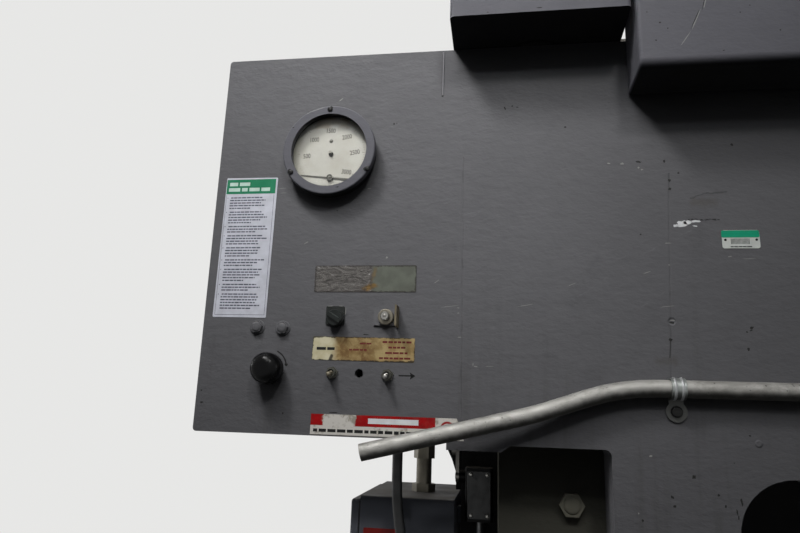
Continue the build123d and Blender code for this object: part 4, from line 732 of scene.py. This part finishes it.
def legend_paint():
    """Cream label, stained brown across its middle, tan on the right, with a torn rim."""
    p = Paint("legend film")
    cream = p.mix(p.ramp(p.noise(70, 4), 0.35, 0.7), srgb(190, 184, 158), srgb(172, 164, 132))
    tan = p.mix(p.ramp(p.noise(60, 5, 0.65), 0.35, 0.65), srgb(158, 140, 98), srgb(128, 106, 68))
    where = p.plus(p.axis(0), p.by(p.less(p.noise(45, 4, 0.6), 0.5), 0.02))
    tone = p.mix(p.ramp(where, -1.378, -1.366), cream, tan)
    middle = p.by(p.ramp(where, -1.372, -1.362), p.ramp(where, -1.328, -1.308, 1.0, 0.0))
    blots = p.ramp(p.noise(80, 5, 0.7, warp=0.6), 0.4, 0.62, 0.25, 0.9)
    tone = p.lay(middle, blots, tone, srgb(98, 72, 40))
    drop = p.segment((-1377, 1596), (-1375, 1602), 1.2, 1.6, 0.004)
    tone = p.lay(drop, 0.9, tone, srgb(40, 34, 28))
    rim = torn_rim(p, ((0, -1.33325, 0.0688, 0.0700), (2, 1.611, 0.0143, 0.0157)))
    tone = p.lay(rim, 0.9, tone, srgb(26, 22, 18))
    p.gloss(0.2)
    return p.set(tone, 0.5, None, p.bump(p.noise(150, 5), 0.0003))


sheet_plate("legend_label", round_outline(-1403, -1263.5, 1595, 1627, 2), FACE - 0.02, 0.35,
            legend_paint(), "ram", tilt=-0.5)
upright_quads("legend_bar", dashes([(-1397, -1372, 1611.0, 3.8)]), black_ink, FACE - 0.44)
upright_quads("legend_rows", dashes([
    (-1307, -1268, 1621.0, 2.6), (-1299, -1276, 1613.8, 2.4), (-1303, -1273, 1606.6, 2.4),
    (-1311, -1269, 1599.6, 2.4), (-1338, -1322, 1618.5, 2.0), (-1352, -1328, 1610.0, 2.0),
]), red_ink, FACE - 0.44)


def strip_paint():
    """Red and white strip: red band torn to white near its left, faded and soiled."""
    p = Paint("strip film")
    worn = p.ramp(p.noise(90, 6, 0.7), 0.5, 0.64)
    red = p.mix(p.ramp(p.noise(60, 4), 0.3, 0.7), srgb(150, 6, 10), srgb(118, 8, 12))
    white = p.mix(worn, srgb(190, 187, 181), srgb(152, 147, 137))
    shift = p.by(p.less(p.noise(70, 5, 0.7), 0.5), 0.022)
    where = p.plus(p.axis(0), shift)
    band = p.ramp(p.axis(2), 1.5103, 1.5110)
    end = p.ramp(p.axis(0), -1.2345, -1.2340, 1.0, 0.0)
    torn = p.by(p.ramp(where, -1.384, -1.381), p.ramp(where, -1.340, -1.337, 1.0, 0.0))
    keep = p.by(p.by(band, end), p.less(1.0, torn))
    tone = p.mix(keep, white, red)
    arc = p.spot(-1219, 1511.5, 9, 0.8)
    hole = p.spot(-1219, 1511.5, 6.4, 0.8)
    tone = p.lay(arc, p.less(1.0, hole), tone, srgb(136, 34, 34))
    foot = p.by(p.ramp(p.axis(2), 1.4988, 1.4994, 1.0, 0.0), p.ramp(p.axis(0), -1.25, -1.24, 1, 0))
    tone = p.lay(foot, 0.8, tone, srgb(40, 38, 36))
    tone = p.lay(worn, 0.2, tone, srgb(86, 78, 68))
    p.gloss(0.15)
    return p.set(tone, 0.45, None, p.bump(p.noise(300), 0.00008))


strip = [(-1399, 1498), (-1399, 1525), (-1207, 1525), (-1203, 1516), (-1199.5, 1506), (-1198, 1497.6)]
sheet_plate("red_strip", strip, FACE - 0.02, 0.3, strip_paint(), "ram")
upright_quads("strip_dashes", dashes([(-1395, -1247, 1504.3, 4.0)]), black_ink, FACE - 0.38)
upright_quads("strip_bar", [rule(-1322, -1256, 1514.6, 1521.4)], chip_white, FACE - 0.38)

# Small riveted tag on the ram
tag_green = flat_color("tag green", srgb(12, 138, 104), 0.35, 0.2)
tag_white = flat_color("tag white", srgb(190, 194, 190), 0.4, 0.15)
sheet_plate("asset_tag", round_outline(-872, -827, 1747.3, 1771.5, 3), FACE - 0.02, 0.6,
            tag_white, "ram")
sheet_plate("asset_tag_head", round_outline(-872.6, -827.2, 1761.6, 1771.2, 2.0), FACE - 0.58, 0.1,
            tag_green, "ram")
quads = [rule(-861.5 + 1.42 * i, -860.8 + 1.42 * i, 1753, 1760.4) for i in range(16)]
quads += dashes([(-862.5, -837, 1749.6, 1.3)])
upright_quads("asset_tag_bars", quads, black_ink, FACE - 0.66)
for index, x in enumerate((-868.0, -830.8)):
    turned("tag_rivet_%d" % index, (x, FACE - 0.5, 1758.8), [(1.7, 0), (1.5, 0.4), (0.9, 0.7)],
           black_paint, "ram", steps=16)

# Chips, nicks and scuffs in the paint, and painted shade beside the cover's scratches
flecks("white_chip", [
    (-919, 1781, 15, 9, 4), (-911, 1782.5, 13, 5.5, 3), (-902, 1784, 15, 3.4, 4), (-927, 1778.5, 8, 4, 10),
    (-903, 1777.6, 7, 1.6, -4),
], chip_white)
flecks("pale_nicks", [
    (-1007, 1867, 5, 2.2, -5), (-990, 1866, 5, 3, 0), (-969, 1860, 3, 3, 0), (-965, 1857, 4, 2.4, 20),
    (-938, 1755, 9, 1.0, 0), (-938, 1726, 3, 1.6, 0), (-966, 1716, 10, 1.0, 20), (-864, 1737, 6, 1.2, 10),
    (-841, 1734, 18, 0.8, 2), (-938, 1654.5, 8, 1.2, 4), (-990, 1423, 1.6, 2.4, 0),
    (-973, 1489, 5, 2.4, 0), (-1184, 1591.5, 6, 1.0, -6), (-1187, 1594, 1.2, 5, 0),
    (-1166, 1592, 12, 0.7, 2), (-1205, 1629, 5, 1.2, 0), (-1207, 1661, 4, 1.0, 0), (-1207, 1668, 4, 1.0, 0),
    (-1422, 1759, 9, 1.4, 28), (-1306, 1737, 3, 3, 0), (-1384, 1978, 8, 2.0, 40),
    (-1335, 1838, 6, 1.0, -5), (-1218, 1670, 24, 0.8, 7), (-1236, 1704, 9, 1.0, 35),
    (-1120, 1672, 20, 0.8, 10), (-1060, 1700, 14, 0.8, 24), (-944, 1672, 22, 0.8, 6),
    (-1463, 1841, 14, 0.6, 0), (-1461, 1834, 12, 0.6, 2),
], chip_pale)
flecks("dark_nicks", [
    (-969, 1868, 8, 3, 0), (-936, 1868, 3, 5, 0), (-919, 1851, 4, 3, 0), (-931, 1841, 4, 5, 0),
    (-931, 1829, 4, 4, 0), (-850, 1889, 4, 4, 0), (-971, 1767, 2.6, 2.6, 0), (-939, 1651.5, 8, 2.4, -8),
    (-846, 1646, 6, 3.6, 30), (-942, 1630, 5, 4.4, 0), (-852, 1641, 3, 2, 0), (-847, 1643, 5, 2, 20),
    (-852, 1620, 3, 4.5, 0), (-925, 1467, 5, 4.5, 20), (-951, 1443, 5, 3.6, -35), (-949, 1433, 4.4, 3, 0),
    (-899, 1448, 3, 3, 0), (-892, 1436, 2.6, 4, 0), (-874, 1441, 3, 11, 8), (-880, 1430, 2.2, 8, 6),
    (-879, 1424, 2, 5, 0), (-986, 1415, 3, 4, 0), (-859, 1517, 2.6, 2.6, 0), (-879, 1485, 1.6, 1.6, 0),
    (-1438, 1524, 2.6, 3, 0), (-1233.6, 1977, 3.2, 3.2, 0), (-1303, 1936, 2.6, 3, 0),
    (-1299, 1937, 2, 2, 0), (-1145, 1954, 2.4, 5, 15), (-1135, 1957, 4, 1.6, 0), (-1128, 1955, 4, 2, 0),
    (-1063, 1922, 4, 2.4, 0), (-1554, 1535, 6, 3, 0), (-1556, 1551, 3, 2, 0), (-1380, 1806, 2, 2, 0),
    (-1330, 1630.6, 9, 1.4, 0), (-1369, 1527.4, 12, 1.6, 0),
], dark_nick_and_shade)
flecks("cover_scratch", [
    (-895, 2049, 1.2, 26, -14), (-907, 2026, 1.3, 34, -24), (-921, 2000, 1.2, 26, -34),
], chip_pale, COVER_FACE, "machine")
# Painted shade: a dark line beside each scratch on the cover.
flecks("cover_scratch_shade", [
    (-897, 2048, 0.9, 24, -14), (-909, 2025, 0.9, 32, -24),
], dark_nick_and_shade, COVER_FACE, "machine")
flecks("cover_pits", [
    (-951, 2024, 3, 2.4, 0), (-942, 2015, 2, 2, 0), (-957, 1999, 2.6, 2.2, 0), (-855, 2032, 2, 2, 0),
    (-811, 2004, 2.4, 2, 0), (-878, 1980, 3, 1.4, 12), (-843, 2041, 2, 1.6, 0), (-966, 2040, 1.6, 1.6, 0),
    (-760, 2016, 2, 2, 0), (-700, 2032, 3, 1.2, 20),
], dark_nick_and_shade, COVER_FACE, "machine")
flecks("housing_nick", [
    (-1100, 2058, 9, 1.6, 0), (-1168, 2056, 3, 1.4, 0),
], dark_nick_and_shade, HOUSING_FACE, "machine")

# Gauge face: numbers, graduations and the stop pin
gauge_x = -1392.0
gauge_z = 1890.0
dial_y = FACE - 8.0
lowest_number = 500
number_span = 2500.0
sweep = 225.0
marks = bmesh.new()
for step in range(61):
    value = step * 50
    angle = math.radians(180 - sweep * (value - lowest_number) / number_span)
    long_mark = value % 500 == 0
    outer = 49.5
    inner = 46.0 if long_mark else 47.8
    width = 0.3 if long_mark else 0.16
    way = Vector((math.cos(angle), math.sin(angle)))
    side = Vector((-way.y, way.x)) * width
    quad = [way * inner - side, way * outer - side, way * outer + side, way * inner + side]
    marks.faces.new([
        marks.verts.new(mm(gauge_x + q.x, dial_y - 0.12, gauge_z + q.y)) for q in quad
    ])
piece("gauge_marks", mesh_from(marks, "gauge_marks"), dial_ink, "ram")

numbers = {
    "500": (-1427.6, 1886.2, 4), "1000": (-1418.0, 1911.2, 2), "1500": (-1394.2, 1924.6, -2),
    "2000": (-1369.5, 1914.2, 8), "2500": (-1357.0, 1890.0, 8), "3000": (-1367.8, 1860.4, -8),
}
for word, (x, z, tilt) in numbers.items():
    curve = bpy.data.curves.new("number_" + word, "FONT")
    curve.body = word
    curve.size = 0.0098
    curve.offset = 0.00009
    curve.align_x = "CENTER"
    curve.align_y = "CENTER"
    curve.resolution_u = 3
    curve.materials.append(number_ink)
    obj = bpy.data.objects.new("number_" + word, curve)
    scene.collection.objects.link(obj)
    spin = Matrix.Rotation(math.radians(90), 4, "X")
    narrow = Matrix.Rotation(math.radians(tilt), 4, "Z") @ Matrix.Diagonal((0.74, 1.0, 1.0, 1.0))
    obj.matrix_world = Matrix.Translation(mm(x, dial_y - 0.15, z)) @ spin @ narrow
    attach(obj, "ram")

pin_grey = flat_color("pin grey", srgb(112, 112, 104), 0.4, 0.3)
turned("gauge_pin", (-1392.7, dial_y, 1908.9), [(2.7, 0), (2.5, 0.8), (1.5, 1.3)], pin_grey, "ram",
       steps=20)
for index, (x, z) in enumerate(((-1393.1, 1951.4), (-1445.0, 1856.6), (-1334.4, 1859.2))):
    turned("gauge_screw_head_%d" % index, (x, RING_FACE + 0.1, z), [(3.9, 0), (3.7, 1.1), (2.2, 1.7)],
           screw_black, "ram", steps=24)
turned("pointer_hub_dot", (-1391.2, dial_y - 3.2, 1852.5), [(2.0, 0), (1.8, 0.5)], pin_grey, "ram",
       steps=18)
turned("gauge_spindle", (-1391.8, dial_y, 1888.4), [(3.5, 0), (3.3, 1.6), (1.8, 2.6)], screw_black, "ram",
       steps=20)
flecks("ring_scuffs", [(-1412, 1951.5, 24, 1.0, 17), (-1424, 1947, 8, 0.8, 30)], chip_pale, RING_FACE)
flecks("ring_nick", [(-1446, 1925, 3.4, 1.6, 30), (-1376, 1833, 5, 1.6, 10)], dark_nick_and_shade, RING_FACE)

# Mark beside the speed knob: an arc that ends in a dot
bm = bmesh.new()
centre = Vector((-1462.0, 1584.0))
previous = None
for step in range(15):
    angle = math.radians(66 - 54 * step / 14)
    way = Vector((math.cos(angle), math.sin(angle)))
    pair = [
        bm.verts.new(mm(centre.x + way.x * r, FACE - 0.08, centre.y + way.y * r)) for r in (23.3, 25.1)
    ]
    if previous:
        bm.faces.new((previous[0], previous[1], pair[1], pair[0]))
    previous = pair
piece("knob_arc", mesh_from(bm, "knob_arc"), black_ink, "ram")
turned("knob_arc_dot", (-1438.2, FACE, 1588.6), [(2.1, 0), (2.0, 0.12)], black_ink, "ram",
       steps=18)

# A plain arrow beside the right toggle switch
upright_quads("plain_arrow", [
    rule(-1284, -1264, 1576.4, 1578.3), [(-1261.6, 1577.3), (-1269.4, 1582.0), (-1267.8, 1577.3)],
    [(-1261.6, 1577.3), (-1267.8, 1577.3), (-1269.0, 1572.2)],
], black_ink, FACE - 0.06)

# Worn edges on the selector's plate, a painted highlight on its knob's ridge, and the dimple in the button
flecks("selector_edge_wear", [
    (-1358.6, 1662, 1.2, 11, 0), (-1381, 1668.3, 9, 1.0, 4), (-1366, 1668.4, 7, 0.8, 0),
], chip_pale, FACE - 4.0)
# Painted highlight: a pale strip along the top of the knob's ridge.
ridge_highlight = flat_color("ridge highlight", srgb(74, 80, 78), 0.4, 0.3)
flecks("selector_ridge_highlight", [
    (-1370.4, 1654.0, 17, 0.9, -32), (-1373.2, 1650.4, 13, 0.7, -32),
], ridge_highlight, FACE - 17.3, "selector")
dimple_steel = worn_steel("dimple", srgb(112, 110, 106), 0.4, 0.3, metal=0.7)
turned("button_dimple", (-1303.2, FACE - 16.0, 1654.1), [(2.3, 0), (2.1, 0.15)], dimple_steel,
       "button", steps=24)

# Domed caps on the hexagon heads, with a washer under each head of the small bolts
for index, (x, z) in enumerate(((-1483.4, 1638.7), (-1446.7, 1637.5))):
    turned("bolt_washer_%d" % index, (x, FACE, z), [(10.4, 0), (10.4, 1.2), (9.6, 1.7)], paint_ram,
           "ram", steps=36, smooth=False)
    turned("bolt_dome_%d" % index, (x, FACE - 5.8, z), [(6.7, 0), (6.2, 0.7), (4.2, 1.3), (1.0, 1.6)],
           paint_ram, "ram", steps=30)
for side in (-1, 1):
    for level in range(5):
        name = "gib_bolt_dome_%s_%d" % ("left" if side < 0 else "right", level)
        turned(name, (side * GIB_BOLT_X, GIB_BOLT_FACE, LOWEST_GIB_BOLT + GIB_BOLT_PITCH * level),
               [(11.6, 0), (10.8, 1.2), (7.0, 2.2), (2.0, 2.6)], paint_bolt, "machine", steps=30)

# Two raised ribs on every strap, and painted shade for the slot across its screw
for index in range(4):
    strap_x = FIRST_STRAP + STRAP_PITCH * index
    bm = bmesh.new()
    for rib_x in (strap_x - 4.2, strap_x + 4.2):
        rows = []
        for step in range(25):
            angle = math.radians(-95 + 190 * step / 24)
            row = []
            for across, reach in ((-1.8, 13.1), (-0.9, 13.9), (0.9, 13.9), (1.8, 13.1)):
                row.append(bm.verts.new(mm(
                    rib_x + across, TUBE_Y - reach * math.cos(angle), TUBE_Z + reach * math.sin(angle))))
            rows.append(row)
        for low, high in zip(rows, rows[1:]):
            for j in range(3):
                bm.faces.new((low[j], low[j + 1], high[j + 1], high[j]))
        bm.faces.new(rows[0])
        bm.faces.new(rows[-1])
    piece("strap_ribs_%d" % index, mesh_from(bm, "strap_ribs_%d" % index, smooth=True), zinc, "ram")
    # Painted shade: the screw's slot is a flat dark quad, with no groove cut.
    slot_shade = rule(strap_x - 4.6, strap_x + 4.6, 1541.3, 1542.9)
    upright_quads("strap_slot_shade_%d" % index, [slot_shade], dark_nick_and_shade, FACE - 6.26)

# Dark stop plate behind the limit switch's lever, seen below the tube
bracket = [
    (-1233.6, 1476.3), (-1227.1, 1463), (-1220.8, 1444.4), (-1220.1, 1418), (-1209.4, 1418),
    (-1210, 1477.3),
]
sheet_plate("switch_bracket", bracket, -304.0, 3.0, black_paint, "machine")

# Cover plate and screws on the limit switch, and a plain red field low on the enclosure
switch_plate = round_outline(-1200, -1166, 1384, 1451, 3)
sheet_plate("switch_cover", switch_plate, SWITCH_FACE, 2.0, gear_plastic, "machine")
for index, (x, z) in enumerate(((-1195, 1389), (-1171, 1389), (-1195, 1446), (-1171, 1446))):
    turned("switch_screw_%d" % index, (x, SWITCH_FACE - 1.9, z), [(3.0, 0), (2.8, 1.2), (1.6, 1.9)],
           nickel, "machine", steps=18)
red_film = flat_color("red film", srgb(132, 34, 30), 0.45, 0.4)
sheet_plate("red_field", round_outline(-1346, -1298, 1345, 1369, 1.5), -395.05, 0.3, red_film, "machine")

# Free hoses, on the same routes as in the model
HOSE_A = (
    (-1291, -455, 1540), (-1291, -455, 1475), (-1290, -455, 1408), (-1276, -454, 1335),
    (-1268, -452, 1262), (-1268, -450, 1190), (-1274, -449, 1118), (-1283, -448, 1040),
    (-1290, -447, 950), (-1293, -402, 905), (-1297, -338, 905), (-1300, -293, 950),
    (-1300, -293, 1012),
)
HOSE_B = (
    (-1272, -295, 1484), (-1272, -295, 1540), (-1271, -292, 1600), (-1270, -286, 1660),
    (-1271, -281, 1718), (-1273, -281, 1775), (-1276, -311, 1826), (-1278, -362, 1856),
    (-1278, -415, 1856),
)
SWITCH_CONDUIT = (
    (-1183, -344, 1380), (-1183, -344, 1345), (-1179, -346, 1300), (-1166, -349, 1254),
    (-1152, -351, 1208), (-1144, -353, 1162), (-1151, -354, 1126), (-1174, -355, 1106),
    (-1217, -355, 1106),
)


def smooth_line(name, route):
    """Points of the smooth line through a route, read from its spline."""
    curve = bpy.data.curves.new(name + "_line", "CURVE")
    curve.dimensions = "3D"
    curve.resolution_u = 16
    spline = curve.splines.new("NURBS")
    spline.points.add(len(route) - 1)
    for point, spot in zip(spline.points, route):
        point.co = (*mm(*spot), 1.0)
    spline.order_u = 3
    spline.use_endpoint_u = True
    holder = bpy.data.objects.new(name + "_line", curve)
    mesh = bpy.data.meshes.new_from_object(holder)
    line = [vert.co.copy() for vert in mesh.vertices]
    bpy.data.objects.remove(holder)
    bpy.data.meshes.remove(mesh)
    return line


def evenly(line, spacing):
    """The same line with its points at an even spacing."""
    lengths = [(b - a).length for a, b in zip(line, line[1:])]
    total = sum(lengths)
    count = max(2, round(total / spacing))
    found = []
    index = 0
    passed = 0.0
    for step in range(count + 1):
        target = total * step / count
        while index < len(lengths) - 1 and passed + lengths[index] < target:
            passed += lengths[index]
            index += 1
        share = (target - passed) / lengths[index]
        found.append(line[index].lerp(line[index + 1], min(share, 1.0)))
    return found, total


def tube(name, line, radius_at, finish, steps=24):
    """A closed tube whose radius is a function of the place along it."""
    bm = bmesh.new()
    side = Vector((1, 0, 0))
    rings = []
    for index, spot in enumerate(line):
        ahead_spot = line[min(index + 1, len(line) - 1)]
        behind_spot = line[max(index - 1, 0)]
        way = (ahead_spot - behind_spot).normalized()
        side = (side - way * side.dot(way)).normalized()
        other = way.cross(side)
        radius = radius_at(index)
        rings.append([bm.verts.new(
            spot + side * radius * math.cos(turn) + other * radius * math.sin(turn)
        ) for turn in (2 * math.pi * step / steps for step in range(steps))])
    skin(bm, rings)
    obj = bpy.data.objects.new(name, mesh_from(bm, name, smooth=True))
    scene.collection.objects.link(obj)
    obj.data.materials.append(finish)
    return obj


def declare(node):
    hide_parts(node)


line, total = evenly(smooth_line("hose_a", HOSE_A), 0.006)
hose = tube("thin_hose", line, lambda index: 0.007, rubber)
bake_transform(hose)
declare("hose_a")

line, total = evenly(smooth_line("hose_b", HOSE_B), 0.006)
hose = tube("thick_hose", line, lambda index: 0.010, rubber)
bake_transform(hose)
declare("hose_b")

line, total = evenly(smooth_line("switch_conduit", SWITCH_CONDUIT), 0.0018)
hose = tube("wound_conduit", line, lambda index: 0.007 - 0.0007 * (index % 2), flex_steel)
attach(hose, "machine")
declare("switch_conduit")

# Small screws on the cover, the housings and the tank's lid, and the door's two latches
hexagon = [(8.0, 0), (8.0, 4.2), (6.6, 5.4)]
spots = [(x, COVER_FACE, 2284) for x in range(-930, 931, 186)]
spots += [(side * x, HOUSING_FACE, z) for side in (-1, 1) for x in (1003, 1199) for z in (2300, 2498)]
studs("cover_screws", spots, hexagon, paint_housing, "machine", steps=6, smooth=False)
spots = [(x, y, LID_TOP) for x in range(-840, 841, 210) for y in (-381, 111)]
spots += [(side * 849, y, LID_TOP) for side in (-1, 1) for y in (-258, -135, -12)]
studs("lid_screws", spots, [(4.8, 0), (4.8, 2.4), (3.4, 3.6)], dull_steel, "machine", axis="Z")
studs("door_latches", [(DOOR_FACE, -374, z) for z in (1300, 1110)],
      [(11, 0), (11, -2), (7.5, -3), (7, -7), (5.4, -8)], zinc, "door", axis="X", steps=28)


def bead(name, start, end):
    """A rippled weld bead between two spots in millimetres."""
    radius = 0.0045
    begin = Vector(start) * MM
    run = Vector(end) * MM - begin
    count = round(run.length / 0.006)
    spots = [begin + run * step / count for step in range(count + 1)]
    obj = tube(name, spots, lambda index: radius * (0.88 + 0.12 * (index % 2)), paint_frame, steps=10)
    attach(obj, "machine")


for side, name in ((-1, "left"), (1, "right")):
    for place, x in (("outer_", 1213), ("inner_", 1042)):
        bead("foot_bead_" + place + name, (side * x, -444, 32), (side * x, 460, 32))
    for place, y in (("front_", 203), ("back_", 247)):
        bead("crown_bead_" + place + name, (side * 1041.5, y, 1156), (side * 1041.5, y, 1994))


def seen_directly(tree):
    """The light path, and 1 for rays that show the backdrop: camera, glass and reflections."""
    paths = tree.nodes.new("ShaderNodeLightPath")
    seen = paths.outputs["Is Camera Ray"]
    for kind in ("Is Transmission Ray", "Is Glossy Ray"):
        either = tree.nodes.new("ShaderNodeMath")
        either.operation = "MAXIMUM"
        tree.links.new(seen, either.inputs[0])
        tree.links.new(paths.outputs[kind], either.inputs[1])
        seen = either.outputs[0]
    return paths, seen


def either_shader(tree, share, first, second):
    node = tree.nodes.new("ShaderNodeMixShader")
    for source, target in zip((share, first, second), node.inputs):
        tree.links.new(source, target)
    return node.outputs[0]


# Floor, which fades into the pale backdrop away from the machine
BACKDROP = (0.80, 0.80, 0.79, 1.0)
FADE_START = 1.9
FADE_END = 4.2
FLOOR_RADIUS = 30.0
floor_paint = Paint("studio floor")
away = floor_paint.vec("LENGTH", floor_paint.place, value=True)
fade = floor_paint.ramp(away, FADE_START, FADE_END)
speckle = floor_paint.noise(2.0, 3)
floor_tone = floor_paint.mix(speckle, srgb(226, 226, 225), srgb(218, 218, 217))
floor_paint.set(floor_tone, 0.8, None, floor_paint.bump(floor_paint.noise(30), 0.0004))
paths, seen = seen_directly(floor_paint.tree)
glow = floor_paint.add("ShaderNodeEmission", Color=BACKDROP)
faded = either_shader(floor_paint.tree, floor_paint.by(fade, seen), floor_paint.shader.outputs[0],
                      glow.outputs[0])
dull = floor_paint.add("ShaderNodeBsdfDiffuse", Color=srgb(48, 48, 48))
bounced = either_shader(floor_paint.tree, paths.outputs["Is Diffuse Ray"], faded, dull.outputs[0])
floor_paint.link(bounced, floor_paint.out.inputs[0])
bm = bmesh.new()
bmesh.ops.create_circle(bm, cap_ends=True, radius=FLOOR_RADIUS, segments=64)
floor = bpy.data.objects.new("floor", mesh_from(bm, "floor"))
scene.collection.objects.link(floor)
floor.data.materials.append(floor_paint.mat)

# World: a soft sky from above, and the pale backdrop for camera, glass and reflections
world = bpy.data.worlds.new("studio")
scene.world = world
world.use_nodes = True
tree = world.node_tree
tree.nodes.clear()
world_out = tree.nodes.new("ShaderNodeOutputWorld")
sky = tree.nodes.new("ShaderNodeBackground")
sky.inputs[0].default_value = (0.95, 0.97, 1.0, 1)
pale = tree.nodes.new("ShaderNodeBackground")
pale.inputs[0].default_value = BACKDROP
coord = tree.nodes.new("ShaderNodeTexCoord")
split = tree.nodes.new("ShaderNodeSeparateXYZ")
tree.links.new(coord.outputs["Generated"], split.inputs[0])
height = tree.nodes.new("ShaderNodeMapRange")
for name, value in (("From Min", -0.05), ("From Max", 0.8), ("To Min", SKY_LOW), ("To Max", SKY_HIGH)):
    height.inputs[name].default_value = value
tree.links.new(split.outputs[2], height.inputs["Value"])
tree.links.new(height.outputs["Result"], sky.inputs[1])
paths, seen = seen_directly(tree)
shown = either_shader(tree, seen, sky.outputs[0], pale.outputs[0])
tree.links.new(shown, world_out.inputs[0])


def lamp(name, place, target, size, power, color=(1, 1, 1), spread=180):
    data = bpy.data.lights.new(name, "AREA")
    data.shape = "DISK"
    data.size = size
    data.energy = power
    data.color = color
    data.spread = math.radians(spread)
    obj = bpy.data.objects.new(name, data)
    scene.collection.objects.link(obj)
    look = (Vector(target) - Vector(place)).to_track_quat("-Z", "Y")
    obj.matrix_world = Matrix.Translation(place) @ look.to_matrix().to_4x4()


# Lamps stand in these directions from the panel, as the shadows under the housings say
PANEL_MID = Vector((-1.15, -0.515, 1.9))
AIM = Vector((-1.33, -0.55, 2.1))


def lamp_from(name, towards, distance, size, power, color, spread):
    place = PANEL_MID + Vector(towards).normalized() * distance
    lamp(name, place, AIM, size, power, color, spread)


lamp_from("high_left", (-0.061, -0.077, 0.117), 2.0, 0.4, 2.9, (1.0, 0.99, 0.975), 50)
lamp_from("middle", (-0.022, -0.077, 0.083), 2.3, 1.0, 2.9, (1.0, 0.99, 0.98), 60)
lamp_from("front", (0.021, -0.077, 0.061), 2.6, 0.3, 1.5, (1.0, 0.99, 0.97), 50)
lamp_from("low", (-0.012, -0.077, 0.046), 2.6, 0.2, 0.6, (0.98, 0.99, 1.0), 54)
lamp("front_right", (2.6, -2.4, 2.2), (1.0, -0.3, 1.1), 1.2, 20, (1, 1, 1), 40)
lamp("side", (4.8, -0.4, 2.9), (0.8, -0.1, 1.3), 1.6, 70)
lamp("back", (0.8, 4.6, 3.6), (0, 0.2, 1.5), 2.0, 190)
lamp("left", (-4.8, 1.2, 2.6), (-1.2, 0, 1.4), 1.6, 60)
